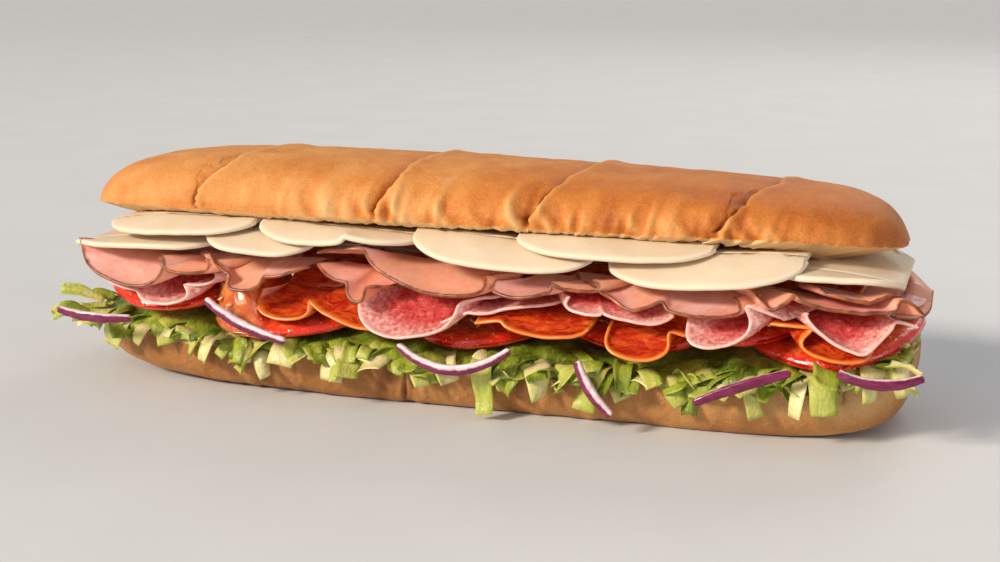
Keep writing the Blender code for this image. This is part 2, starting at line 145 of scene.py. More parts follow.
# Each tomato slice is the x and y of its middle, its radius, its height and its rise to the left.
TOMATOES = [
    (-112.0, -3.0, 32.5, 35.8, 0.03),
    (-58.0, -3.0, 32.0, 30.2, -0.01),
    (5.0, -3.0, 30.0, 29.2, 0.00),
    (61.0, -3.0, 30.0, 32.4, 0.06),
    (93.0, -3.0, 28.0, 36.8, 0.02),
    (124.5, -3.0, 30.0, 31.8, -0.06),
]

# Each onion strip bends through three points.
ONIONS = [
    ((-147, -46.5, 26.6), (-132, -51.0, 24.6), (-117, -47.0, 25.4)),
    ((-87, -46.5, 34.4), (-75, -49.5, 25.8), (-56, -48.0, 21.8)),
    ((-15, -47.0, 23.8), (5, -52.0, 9.8), (25, -47.0, 25.0)),
    ((48, -47.5, 23.4), (51, -50.5, 14.4), (60, -49.0, 6.4)),
    ((87, -50.5, 13.4), (102, -50.0, 20.8), (117, -47.5, 25.0)),
    ((131, -46.5, 26.0), (145, -50.0, 21.2), (157, -45.0, 26.2)),
    ((-96, 47.5, 23.4), (-78, 51.5, 13.4), (-62, 47.5, 22.4)),
    ((-20, 48.0, 20.4), (-8, 50.5, 11.4), (-2, 49.5, 5.4)),
    ((36, 47.5, 22.4), (58, 52.0, 12.4), (76, 47.5, 23.0)),
    ((112, 47.0, 24.4), (128, 50.5, 17.4), (141, 46.5, 25.0)),
]

# How far the crests of a folded rim lie behind its low bulges, for each millimetre of height between them
CREST_RECESS = 0.6

# A deep and narrow bulge is a pocket, whose sides lean over its mouth
DEEP_BULGE = 2.5
WIDEST_POCKET = 24.0
ROLLED_IN = 3.0
ROLLED_IN_SHARE = 0.17

# How many steps of a rim its corners are rounded over
RIM_SOFTNESS = 6

# Past this far from the middle, shreds of lettuce are drawn in to a share of their reach
SHREDS_DRAWN_IN_FROM = 151.0
SHREDS_DRAWN_IN_TO = 0.6

# Points of a piece nearer than this are one point, in metres
MERGE_DISTANCE = 1e-6

# The tomato slice whose left part is thick and open, with its wet flesh to the front
SWOLLEN_TOMATO = 1

# How far each slice sweeps to the right, behind its rim, at its left and at its right end
HAM_SWEEPS = [(14, 14), (-10, 2), (6, 12), (4, 6), (10, 12), (-10, 12), (-12, -12), (-10, -10)]
SALAMI_SWEEPS = [(12, 12), (10, 10), (4, 4), (-8, -4), (10, 12), (-12, -10)]
PEPPERONI_SWEEPS = [(6, 6), (0, 2), (0, 2), (-10, -8)]

# How far the purple skin of each onion strip is turned from its lower edge towards its front
ONION_TURNS = [0.7, 0.2, 0.15, 0.2, 1.2, 0.9, 0.4, 0.3, 0.5, 0.6]

# Shreds that hang over the front edge: x, height of the tip, drift to the right, and width
HANGING = [
    (-141, 17.0, -0.2, 8.0),
    (-131, 10.5, -0.3, 9.0),
    (-120, 14.0, -0.4, 7.0),
    (-109, 15.0, 0.2, 7.0),
    (-90, 11.0, -0.2, 6.5),
    (-74, 4.6, -0.6, 8.0),
    (-58, 12.0, 0.6, 8.5),
    (-41, 9.2, -0.05, 9.5),
    (-29, 12.0, -0.9, 6.0),
    (0, 11.0, 0.3, 8.0),
    (14, 0.2, 0.1, 7.0),
    (33, 9.0, 0.2, 8.5),
    (42, 11.5, -0.3, 9.5),
    (51, 4.6, -0.2, 9.0),
    (60, 11.0, 0.4, 7.0),
    (104, 7.4, 0.25, 5.5),
    (119, 10.4, -0.1, 5.0),
    (126, 10.2, 0.15, 9.0),
    (141, 16.0, 0.0, 8.0),
    (149, 17.5, 0.3, 6.0),
]

# The view of the photo, around a point given in the frame
VIEW_TARGET = (10.15, -19.64, 43.2)
VIEW_DISTANCE = 546.0
VIEW_AZIMUTH = 18.0
VIEW_ELEVATION = 12.0
VIEW_LENS = 56.88

RNG = np.random.default_rng(12)


# --- Curves of the roll ---------------------------------------------------------------------------


def past(x, start, full):
    """0 up to start, and 1 at full."""
    return np.maximum(0.0, (np.asarray(x, float) - start) / (full - start))


def smooth_step(x, start, full):
    share = np.clip((np.asarray(x, float) - start) / (full - start), 0.0, 1.0)
    return share * share * (3.0 - 2.0 * share)


def end_taper(x, lengths, sharpness):
    """1 along the roll and 0 at its two ends, with a blunter end for a greater sharpness."""
    x = np.asarray(x, float)
    length = np.where(x < 0, *lengths)
    power = np.where(x < 0, *sharpness)
    return np.sqrt(1.0 - np.minimum(1.0, np.abs(x) / length) ** power)


def top_cut(x):
    left = TOP_CUT_FALLS[0] * past(-np.asarray(x), 95, 153) ** 3
    right = TOP_CUT_FALLS[1] * past(x, 25, 149) ** 5
    return TOP_CUT_HEIGHT - left - right


def top_apex(x):
    left = TOP_FALLS[0] * past(-np.asarray(x), 70, 149) ** 2
    right = TOP_FALLS[1] * past(x, -50, 149) ** 1.4
    return TOP_HEIGHT - left - right


def bottom_cut(x):
    left = BOTTOM_CUT_RISES[0] * past(-np.asarray(x), 90, 149) ** 2
    right = BOTTOM_CUT_RISES[1] * past(x, 85, 149) ** 2
    return BOTTOM_CUT_HEIGHT + left + right


def underside(x):
    left = FOOT_RISES[0] * past(-np.asarray(x), 40, 149) ** 1.8
    right = FOOT_RISES[1] * past(x, 100, 149) ** 2
    return FOOT_HEIGHT + left + right


def bottom_half_width(x):
    return BOTTOM_HALF_WIDTH * end_taper(x, BOTTOM_LENGTHS, BOTTOM_PLAN_SHARPNESS)


# --- Helpers for shapes ---------------------------------------------------------------------------


def lattice_noise(points, size, seed):
    """Smooth random values from -1 to 1 over space, with features of a size that may differ by axis."""
    scaled = np.asarray(points, float) / np.asarray(size, float) + 1000.0
    base = np.floor(scaled).astype(np.int64)
    blend = scaled - base
    blend = blend * blend * (3.0 - 2.0 * blend)
    total = np.zeros(scaled.shape[:-1])
    for corner in np.ndindex(2, 2, 2):
        place = (base + corner).astype(np.uint64)
        mixed = place[..., 0] * np.uint64(374761393) + place[..., 1] * np.uint64(668265263)
        mixed = mixed + place[..., 2] * np.uint64(2246822519) + np.uint64(seed * 974634777 + 1)
        mixed = (mixed ^ (mixed >> np.uint64(13))) * np.uint64(1274126177)
        value = ((mixed >> np.uint64(17)) % np.uint64(65536)).astype(float) / 32767.5 - 1.0
        weight = np.prod(np.where(corner, blend, 1.0 - blend), axis=-1)
        total += value * weight
    return total


def layered_noise(points, size, seed, layers=3):
    """Several sizes of noise over each other, each half as large and half as strong."""
    return sum(
        lattice_noise(points, np.asarray(size) / 2**k, seed + k) / 2**k for k in range(layers)
    )


def grid_normals(grid):
    """Unit normals of a grid of points, from the columns' direction to the rows' direction."""
    normal = np.cross(np.gradient(grid, axis=1), np.gradient(grid, axis=0))
    return normal / np.maximum(1e-9, np.linalg.norm(normal, axis=-1, keepdims=True))


def grid_quads(rows, columns, start=0):
    """Faces between the points of a grid that are numbered row by row."""
    first = np.arange(rows - 1)[:, None] * columns + np.arange(columns - 1)[None, :] + start
    return np.stack([first, first + 1, first + columns + 1, first + columns], axis=-1).reshape(-1, 4)


def ring_quads(rings, count, start=0):
    """Faces between closed rings of points."""
    ring = np.arange(rings - 1)[:, None] * count + start
    here = np.arange(count)[None, :]
    following = (here + 1) % count
    corners = [ring + here, ring + following, ring + count + following, ring + count + here]
    return np.stack(corners, axis=-1).reshape(-1, 4)


def spread(length, step, fine):
    """Places from 0 to length in about equal steps, with a few close ones at both ends."""
    inner = np.linspace(fine[-1], length - fine[-1], max(2, round((length - 2 * fine[-1]) / step)))
    return np.concatenate([fine[:-1], inner, length - np.array(fine[-2::-1])])


def close_outward(mesh):
    """Joins points that share one place, fills open ends and turns every face outward."""
    shape = bmesh.new()
    shape.from_mesh(mesh)
    bmesh.ops.remove_doubles(shape, verts=shape.verts, dist=MERGE_DISTANCE)
    open_edges = [edge for edge in shape.edges if edge.is_boundary]
    filled = bmesh.ops.holes_fill(shape, edges=open_edges, sides=0)
    bmesh.ops.triangulate(shape, faces=filled["faces"])
    bmesh.ops.recalc_face_normals(shape, faces=shape.faces)
    shape.to_mesh(mesh)
    shape.free()


def add_mesh(name, points, quads, slot, look, fields=None):
    """One piece from points in millimetres, with numbers per point that its material reads."""
    mesh = bpy.data.meshes.new(name)
    placed = (np.asarray(points, float).reshape(-1, 3) - ORIGIN) * MM
    mesh.vertices.add(len(placed))
    mesh.vertices.foreach_set("co", placed.astype(np.float32).ravel())
    mesh.loops.add(quads.size)
    mesh.loops.foreach_set("vertex_index", quads.astype(np.int32).ravel())
    mesh.polygons.add(len(quads))
    mesh.polygons.foreach_set("loop_start", np.arange(0, quads.size, 4, dtype=np.int32))
    mesh.polygons.foreach_set("use_smooth", np.ones(len(quads), bool))
    mesh.update(calc_edges=True)
    for field, values in (fields or {}).items():
        stored = mesh.attributes.new(field, "FLOAT", "POINT")
        stored.data.foreach_set("value", np.asarray(values, np.float32).ravel())
    mesh.validate()
    if slot:
        close_outward(mesh)
    mesh.materials.append(look)
    piece = bpy.data.objects.new(name, mesh)
    bpy.context.scene.collection.objects.link(piece)
    if slot:
        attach(piece, "root")
    return piece


def thick_sheet(middle, thickness):
    """Points and faces of a closed sheet around a grid of middle points. Thickness is one per point."""
    rows, columns = middle.shape[:2]
    offset = grid_normals(middle) * thickness[..., None] / 2
    points = np.concatenate([(middle + offset).reshape(-1, 3), (middle - offset).reshape(-1, 3)])
    base = rows * columns
    upper = grid_quads(rows, columns)
    lower = grid_quads(rows, columns, base)[:, ::-1]
    across = np.arange(rows) * columns
    front = np.arange(columns)
    edge = np.concatenate([front, across[1:] + columns - 1, across[-1] + front[-2::-1], across[-2:0:-1]])
    following = np.roll(edge, -1)
    side = np.stack([base + edge, base + following, following, edge], axis=-1)
    return points, np.concatenate([upper, lower, side])


def rounded_edge(distance, thickness):
    """How thick a sheet is near its edge, as a share of its whole thickness."""
    share = np.clip(distance / (0.55 * thickness), 0.0, 1.0)
    return 0.16 + 0.84 * np.sqrt(1.0 - (1.0 - share) ** 2)


# --- Materials ------------------------------------------------------------------------------------


class Look:
    """A material whose colour, roughness and relief are worked out by nodes."""

    def __init__(self, name):
        self.material = bpy.data.materials.new(name)
        self.material.use_nodes = True
        self.tree = self.material.node_tree
        self.shader = self.tree.nodes["Principled BSDF"]
        self.place = self.tree.nodes.new("ShaderNodeTexCoord").outputs["Object"]
        self.normal = None

    def node(self, kind, inputs, **settings):
        made = self.tree.nodes.new(kind)
        for key, value in settings.items():
            setattr(made, key, value)
        for key, value in inputs.items():
            if isinstance(value, bpy.types.NodeSocket):
                self.tree.links.new(value, made.inputs[key])
            else:
                made.inputs[key].default_value = value
        return made

    def set(self, **values):
        """Numbers that are the same all over, such as Specular_IOR_Level=0.4."""
        for key, value in values.items():
            self.shader.inputs[key.replace("_", " ")].default_value = value

    def join(self, **sockets):
        for key, socket in sockets.items():
            self.tree.links.new(socket, self.shader.inputs[key.replace("_", " ")])

    def field(self, name):
        return self.node("ShaderNodeAttribute", {}, attribute_name=name).outputs["Fac"]

    def noise(self, size, detail=3.0, roughness=0.5, warp=0.0, stretch=(1.0, 1.0, 1.0)):
        """Values around 0.5 with features of a size in millimetres."""
        place = self.node("ShaderNodeMapping", {"Vector": self.place, "Scale": stretch}).outputs["Vector"]
        inputs = {
            "Vector": place,
            "Scale": 1.0 / (size * MM),
            "Detail": detail,
            "Roughness": roughness,
            "Distortion": warp,
        }
        return self.node("ShaderNodeTexNoise", inputs).outputs["Fac"]

    def cells(self, size, feature="F1", randomness=1.0):
        inputs = {"Vector": self.place, "Scale": 1.0 / (size * MM), "Randomness": randomness}
        return self.node("ShaderNodeTexVoronoi", inputs, feature=feature).outputs["Distance"]

    def ramp(self, value, *stops):
        """A value turned into a colour by (place, colour) stops, or into a number by (place, number) stops."""
        made = self.node("ShaderNodeValToRGB", {"Fac": value})
        elements = made.color_ramp.elements
        while len(elements) < len(stops):
            elements.new(0.5)
        for element, (place, colour) in zip(elements, stops):
            element.position = place
            shade = (colour,) * 3 if isinstance(colour, (int, float)) else colour
            element.color = (*shade, 1.0)
        return made.outputs["Color"]

    def mix(self, share, first, second, blend="MIX"):
        made = self.node("ShaderNodeMix", {}, data_type="RGBA", blend_type=blend)
        for key, value in (("Factor", share), ("A", first), ("B", second)):
            kind = "VALUE" if key == "Factor" else "RGBA"
            socket = next(s for s in made.inputs if s.name == key and s.type == kind)
            if isinstance(value, bpy.types.NodeSocket):
                self.tree.links.new(value, socket)
            elif key == "Factor":
                socket.default_value = value
            else:
                socket.default_value = (*value, 1.0)
        return next(s for s in made.outputs if s.type == "RGBA")

    def math(self, operation, first, second=0.0):
        made = self.node("ShaderNodeMath", {}, operation=operation)
        for socket, value in zip(made.inputs, (first, second)):
            if isinstance(value, bpy.types.NodeSocket):
                self.tree.links.new(value, socket)
            else:
                socket.default_value = value
        return made.outputs["Value"]

    def relief(self, height, depth, strength=1.0):
        """Adds relief of a depth in millimetres."""
        inputs = {"Height": height, "Distance": depth * MM, "Strength": strength}
        if self.normal:
            inputs["Normal"] = self.normal
        self.normal = self.node("ShaderNodeBump", inputs).outputs["Normal"]

    def finish(self):
        if self.normal:
            self.join(Normal=self.normal)
        return self.material


def crust_look(name, stops, bubbles):
    """Baked crust: the field "bake_and_painted_light" goes from pale crumb at 0 to the darkest crust at 1, and also
    carries painted shade in dips and creases and painted highlight on ridges and lips.
    """
    look = Look(name)
    bake_and_painted_light = look.field("bake_and_painted_light")
    patches = look.noise(12.0, 5.0, 0.62)
    grain = look.noise(0.7, 4.0, 0.75)
    shift = look.math("MULTIPLY", look.math("SUBTRACT", patches, 0.5), 0.34)
    fine = look.math("MULTIPLY", look.math("SUBTRACT", grain, 0.5), 0.5)
    browned = look.math("ADD", look.math("ADD", bake_and_painted_light, shift), fine)
    base = look.ramp(browned, *stops)
    specks = look.ramp(look.cells(2.6), (0.0, 1.0), (0.1, 0.0))
    rare = look.ramp(look.noise(6.0, 1.0), (0.58, 0.0), (0.68, 1.0))
    flour = look.math("MULTIPLY", specks, rare)
    look.join(Base_Color=look.mix(look.math("MULTIPLY", flour, 0.6), base, (0.84, 0.62, 0.36)))
    look.join(Roughness=look.ramp(bake_and_painted_light, (0.1, 0.92), (0.45, 0.5), (1.0, 0.38)))
    look.set(Specular_IOR_Level=0.3, Subsurface_Weight=0.05, Subsurface_Scale=0.002)
    look.relief(grain, 0.32 * bubbles)
    look.relief(look.noise(2.4, 4.0, 0.6), 0.55 * bubbles)
    return look.finish()


def top_crust_look():
    stops = [
        (0.0, (0.74, 0.49, 0.25)),
        (0.16, (0.77, 0.43, 0.17)),
        (0.34, (0.74, 0.33, 0.095)),
        (0.52, (0.64, 0.215, 0.038)),
        (0.72, (0.46, 0.12, 0.015)),
        (1.0, (0.16, 0.035, 0.007)),
    ]
    return crust_look("crust_top", stops, 0.7)


def bottom_crust_look():
    stops = [
        (0.0, (0.74, 0.54, 0.32)),
        (0.2, (0.66, 0.40, 0.18)),
        (0.42, (0.53, 0.25, 0.08)),
        (0.68, (0.35, 0.135, 0.034)),
        (1.0, (0.13, 0.042, 0.011)),
    ]
    return crust_look("crust_bottom", stops, 1.0)


def cheese_look():
    look = Look("cheese")
    clouds = look.noise(16.0, 3.0, 0.5, stretch=(1.0, 1.0, 2.0))
    base = look.ramp(clouds, (0.3, (0.72, 0.57, 0.40)), (0.7, (0.79, 0.66, 0.49)))
    edge = look.ramp(look.field("edge"), (0.0, 1.0), (0.2, 0.0))
    look.join(Base_Color=look.mix(look.math("MULTIPLY", edge, 0.5), base, (0.85, 0.75, 0.60)))
    look.join(Roughness=look.ramp(look.noise(5.0, 3.0), (0.3, 0.36), (0.7, 0.5)))
    look.set(Subsurface_Weight=0.35, Subsurface_Radius=(1.0, 0.75, 0.4), Subsurface_Scale=0.003)
    look.set(Specular_IOR_Level=0.4)
    look.relief(look.noise(1.6, 3.0, 0.6), 0.08)
    look.relief(look.noise(9.0, 2.0), 0.3)
    return look.finish()


def ham_look():
    look = Look("ham")
    patches = look.noise(9.0, 4.0, 0.6, warp=0.6)
    large = look.ramp(look.noise(26.0, 2.0), (0.4, 0.0), (0.62, 1.0))
    # The upper side is mauve-pink and the lower side a warmer orange, which is partly painted warm light.
    inner = look.ramp(patches, (0.3, (0.80, 0.31, 0.27)), (0.52, (0.90, 0.46, 0.40)), (0.72, (0.95, 0.62, 0.56)))
    outer = look.ramp(patches, (0.3, (0.80, 0.27, 0.17)), (0.7, (0.90, 0.44, 0.30)))
    base = look.mix(look.field("upper"), outer, inner)
    # Warmer orange in large random patches, and painted warm light on every second fold of the rim.
    warm_tone_and_painted_light = look.math("MAXIMUM", look.math("MULTIPLY", large, 0.4), look.math("MULTIPLY", look.field("painted_light_folds"), 0.8))
    base = look.mix(warm_tone_and_painted_light, base, (0.88, 0.37, 0.21))
    fibres = look.noise(1.4, 3.0, 0.6, stretch=(1.0, 0.35, 1.0))
    base = look.mix(look.ramp(fibres, (0.45, 0.0), (0.75, 0.4)), base, (0.90, 0.58, 0.52))
    ragged = look.math("MULTIPLY", look.math("SUBTRACT", look.noise(2.2, 2.0), 0.5), 0.1)
    rim = look.ramp(look.math("ADD", look.field("edge"), ragged), (0.03, 1.0), (0.11, 0.0))
    smoked = look.ramp(look.noise(4.0, 3.0), (0.35, (0.13, 0.03, 0.012)), (0.7, (0.42, 0.12, 0.035)))
    look.join(Base_Color=look.mix(rim, base, smoked))
    look.join(Roughness=look.ramp(look.noise(3.0, 3.0), (0.3, 0.27), (0.7, 0.44)))
    look.set(Subsurface_Weight=0.3, Subsurface_Radius=(1.0, 0.35, 0.25), Subsurface_Scale=0.0025)
    look.set(Specular_IOR_Level=0.5, Coat_Weight=0.12, Coat_Roughness=0.25)
    look.relief(fibres, 0.1)
    look.relief(look.noise(6.0, 2.0), 0.3)
    return look.finish()


def salami_look():
    look = Look("salami")
    marble = look.noise(1.5, 4.0, 0.62, warp=0.3)
    outer = look.ramp(
        marble,
        (0.34, (0.62, 0.16, 0.14)),
        (0.48, (0.80, 0.36, 0.32)),
        (0.6, (0.90, 0.58, 0.52)),
        (0.72, (0.95, 0.76, 0.70)),
    )
    # Darker and redder further in from the rim: painted shade inside the folds.
    inner = look.ramp(marble, (0.36, (0.42, 0.02, 0.025)), (0.6, (0.64, 0.11, 0.10)), (0.75, (0.80, 0.30, 0.26)))
    deep = look.ramp(look.field("edge"), (0.2, 0.0), (0.85, 1.0))
    base = look.mix(deep, outer, inner)
    rim = look.ramp(look.field("edge"), (0.04, 1.0), (0.12, 0.0))
    look.join(Base_Color=look.mix(look.math("MULTIPLY", rim, 0.7), base, (0.90, 0.56, 0.50)))
    look.join(Roughness=look.ramp(marble, (0.3, 0.26), (0.7, 0.42)))
    look.set(Subsurface_Weight=0.3, Subsurface_Radius=(1.0, 0.3, 0.2), Subsurface_Scale=0.0025)
    look.set(Specular_IOR_Level=0.5, Coat_Weight=0.15, Coat_Roughness=0.22)
    look.relief(marble, 0.12)
    return look.finish()


def pepperoni_look():
    look = Look("pepperoni")
    streaks = look.noise(3.0, 5.0, 0.62, warp=1.2, stretch=(0.5, 1.0, 1.3))
    base = look.ramp(
        streaks,
        (0.34, (0.32, 0.011, 0.003)),
        (0.5, (0.52, 0.038, 0.006)),
        (0.62, (0.68, 0.105, 0.016)),
        (0.74, (0.82, 0.28, 0.07)),
    )
    rim = look.ramp(look.field("edge"), (0.06, 1.0), (0.2, 0.0))
    look.join(Base_Color=look.mix(look.math("MULTIPLY", rim, 0.85), base, (0.90, 0.26, 0.035)))
    look.join(Roughness=look.ramp(streaks, (0.3, 0.22), (0.7, 0.36)))
    look.set(Subsurface_Weight=0.25, Subsurface_Radius=(1.0, 0.25, 0.08), Subsurface_Scale=0.0025)
    look.set(Specular_IOR_Level=0.55, Coat_Weight=0.25, Coat_Roughness=0.18)
    look.relief(streaks, 0.15)
    return look.finish()


def tomato_look():
    look = Look("tomato")
    flesh = look.noise(4.5, 5.0, 0.6, warp=0.8)
    meat = look.ramp(
        flesh,
        (0.32, (0.74, 0.03, 0.010)),
        (0.5, (0.86, 0.07, 0.020)),
        (0.68, (0.92, 0.24, 0.08)),
    )
    gel = look.ramp(flesh, (0.35, (0.55, 0.07, 0.015)), (0.65, (0.72, 0.27, 0.07)))
    skin = look.ramp(flesh, (0.35, (0.74, 0.014, 0.005)), (0.65, (0.86, 0.035, 0.011)))
    base = look.mix(look.field("gel"), meat, gel)
    look.join(Base_Color=look.mix(look.field("skin"), base, skin))
    look.join(Roughness=look.ramp(look.noise(2.2, 3.0), (0.35, 0.05), (0.7, 0.2)))
    look.set(Subsurface_Weight=0.3, Subsurface_Radius=(1.0, 0.15, 0.06), Subsurface_Scale=0.004)
    look.set(Specular_IOR_Level=0.6, Coat_Weight=0.5, Coat_Roughness=0.06)
    look.relief(look.noise(1.5, 3.0, 0.6), 0.25)
    look.relief(look.noise(4.0, 3.0), 0.6)
    return look.finish()


def seed_look():
    look = Look("tomato_seed")
    shade = look.noise(1.2, 2.0)
    look.join(Base_Color=look.ramp(shade, (0.3, (0.72, 0.42, 0.14)), (0.7, (0.86, 0.64, 0.30))))
    look.join(Roughness=look.ramp(shade, (0.3, 0.1), (0.7, 0.25)))
    look.set(Coat_Weight=0.6, Coat_Roughness=0.05, Subsurface_Weight=0.3, Subsurface_Scale=0.001)
    return look.finish()


def juice_look():
    look = Look("tomato_juice")
    shade = look.noise(1.5, 2.0)
    look.join(Base_Color=look.ramp(shade, (0.3, (0.82, 0.08, 0.03)), (0.7, (0.90, 0.22, 0.09))))
    look.join(Roughness=look.ramp(shade, (0.3, 0.03), (0.7, 0.08)))
    look.set(Coat_Weight=1.0, Coat_Roughness=0.03, Specular_IOR_Level=0.8)
    return look.finish()


def onion_look():
    look = Look("onion")
    streaks = look.noise(1.3, 3.0, 0.5, stretch=(0.25, 1.0, 1.0))
    flesh = look.ramp(streaks, (0.3, (0.72, 0.50, 0.56)), (0.7, (0.88, 0.76, 0.76)))
    purple = look.ramp(streaks, (0.3, (0.11, 0.003, 0.035)), (0.7, (0.24, 0.014, 0.085)))
    wander = look.math("MULTIPLY", look.math("SUBTRACT", look.noise(2.5, 2.0), 0.5), 0.3)
    skin = look.ramp(look.math("ADD", look.field("skin"), wander), (0.42, 0.0), (0.6, 1.0))
    look.join(Base_Color=look.mix(skin, flesh, purple))
    look.join(Roughness=look.ramp(streaks, (0.3, 0.18), (0.7, 0.32)))
    look.set(Subsurface_Weight=0.1, Subsurface_Radius=(1.0, 0.6, 0.7), Subsurface_Scale=0.001)
    look.set(Specular_IOR_Level=0.5, Coat_Weight=0.15, Coat_Roughness=0.15)
    look.relief(streaks, 0.12)
    return look.finish()


def lettuce_look():
    """The field "green" goes from the pale rib at 0 to the leaf's dark edge at 1."""
    look = Look("lettuce")
    blotch = look.noise(5.0, 4.0, 0.6)
    shift = look.math("MULTIPLY", look.math("SUBTRACT", blotch, 0.5), 0.5)
    green = look.math("ADD", look.field("green"), shift)
    base = look.ramp(
        green,
        (0.0, (0.76, 0.67, 0.33)),
        (0.26, (0.54, 0.54, 0.12)),
        (0.52, (0.32, 0.39, 0.03)),
        (0.78, (0.13, 0.19, 0.009)),
        (1.0, (0.045, 0.08, 0.005)),
    )
    fibres = look.noise(1.1, 3.0, 0.6, stretch=(1.0, 0.4, 0.4))
    look.join(Base_Color=look.mix(look.ramp(fibres, (0.5, 0.0), (0.75, 0.4)), base, (0.66, 0.64, 0.24)))
    look.join(Roughness=look.ramp(blotch, (0.3, 0.22), (0.7, 0.42)))
    look.set(Subsurface_Weight=0.2, Subsurface_Radius=(0.7, 1.0, 0.25), Subsurface_Scale=0.001)
    look.set(Specular_IOR_Level=0.45)
    look.relief(fibres, 0.35)
    look.relief(blotch, 0.9)
    return look.finish()


# --- The roll -------------------------------------------------------------------------------------


def roll_stations(lengths, step):
    """Places along the roll in even steps, closer together in its rounded ends."""
    places = []
    for sign, length in ((-1, lengths[0]), (1, lengths[1])):
        body = np.arange(0.0, 0.86 * length, step)
        turn = np.linspace(0.0, 1.0, 36) ** 0.6
        tip = 0.86 * length + 0.14 * length * turn[1:]
        places.append(sign * np.concatenate([body, [0.86 * length], tip]))
    return np.unique(np.round(np.concatenate(places), 4))


def along(x, scale=1.0):
    """Points for noise that changes along the roll only."""
    return np.stack([scale * x, 0.0 * x, 0.0 * x], axis=-1)


def hump(value, middle, width):
    return np.exp(-(((value - middle) / width) ** 2))


def slash_line(low, high, angle, seed):
    """Where a slash lies along the roll at an angle over the crust."""
    share = np.clip((angle - SLASH_START_ANGLE) / (SLASH_END_ANGLE - SLASH_START_ANGLE), 0.0, 1.0)
    over = 38.0 * angle
    wander = 1.0 * lattice_noise(along(over), 9.0, seed) + 0.5 * lattice_noise(along(over), 2.4, seed + 40)
    return low + (high - low) * share**0.85 + wander


def crust_relief(x, angle, grid):
    """How far the crust stands out, and how brown it is over the top half, with painted shade and painted highlight
    added to that brownness.
    """
    stand = 0.7 * lattice_noise(grid, 34.0, 1) + 0.24 * layered_noise(grid, 7.0, 5, 4)
    bake_and_painted_light = 0.44 + 0.07 * lattice_noise(grid, 30.0, 9) + 0.06 * layered_noise(grid, 8.0, 11)
    bake_and_painted_light += 0.16 * hump(angle, 0.85, 0.5) * smooth_step(x, -60, 80)
    # Browner towards the right end and paler at the left end: partly the crust's own colour, partly painted shade on
    # the right and painted light on the left.
    bake_and_painted_light += 0.11 * smooth_step(x, 20, 110) - 0.06 * smooth_step(-x, 20, 120)
    for index, (start, end, dip, lip, width, floor) in enumerate(SLASHES):
        across = x - slash_line(start, end, angle, 20 + index)
        reach = np.clip((angle + 0.06) / 0.3, 0.0, 1.0) * np.clip((2.15 - angle) / 0.3, 0.0, 1.0)
        step = 1.0 / (1.0 + np.exp(-across / 0.18))
        hollow = dip * np.exp(np.minimum(0.0, across) / width) * (1.0 - step)
        raised = lip * np.exp(-np.maximum(0.0, across) / 4.5) * step
        stand += reach * (raised - hollow)
        # Darker in the dip beside each slash: partly browner crust and partly painted shade.
        bake_and_painted_light += reach * 0.2 * np.exp(np.minimum(0.0, across) / 2.6) * (1.0 - step)
        # A dark line at the foot of the lip: painted shade in the crease.
        bake_and_painted_light += reach * 0.3 * hump(across, -0.5, 0.8)
        # Paler on the crest of the lip: partly paler crust and partly painted highlight.
        bake_and_painted_light -= reach * 0.18 * hump(across, 1.1, 0.9)
        if floor:
            torn = floor * hump(angle, 0.95, 0.5) * (1.0 + 0.3 * lattice_noise(along(38.0 * angle), 5.0, 55 + index))
            inside = smooth_step(across, -torn - 0.35, -torn + 0.35) * (1.0 - step) * smooth_step(torn, 0.5, 2.0)
            stand -= inside * (0.55 + 0.35 * layered_noise(grid, 2.6, 57))
            bake_and_painted_light += inside * (0.02 + 0.08 * layered_noise(grid, 3.2, 58))
        curl = hump(angle, 0.17, 0.13)
        stand += 1.1 * lip * curl * (hump(across, 2.6, 1.6) - hump(across, -0.4, 1.1))
        # Darker at the foot of the curl: painted shade in its crease.
        bake_and_painted_light += 0.18 * curl * hump(across, -0.4, 1.2)
    sway = x + 5.0 * np.sin(3.0 * angle)
    flutes = lattice_noise(along(sway), 3.7, 31) + 0.6 * lattice_noise(along(x - 3.0 * angle), 2.2, 32)
    reach = smooth_step(x, -78, -30) * (1.0 - 0.75 * smooth_step(x, 95, 125)) + 0.15
    tall = 0.42 + 0.22 * lattice_noise(along(x), 7.0, 33)
    fade = hump(np.minimum(angle, np.pi - angle), 0.0, np.maximum(0.12, tall))
    stand += 1.75 * flutes * reach * fade
    # Paler near the cut, with painted highlight on the raised flutes and painted shade in the grooves between them.
    bake_and_painted_light -= (0.04 + 0.26 * flutes) * reach * fade
    return stand, bake_and_painted_light


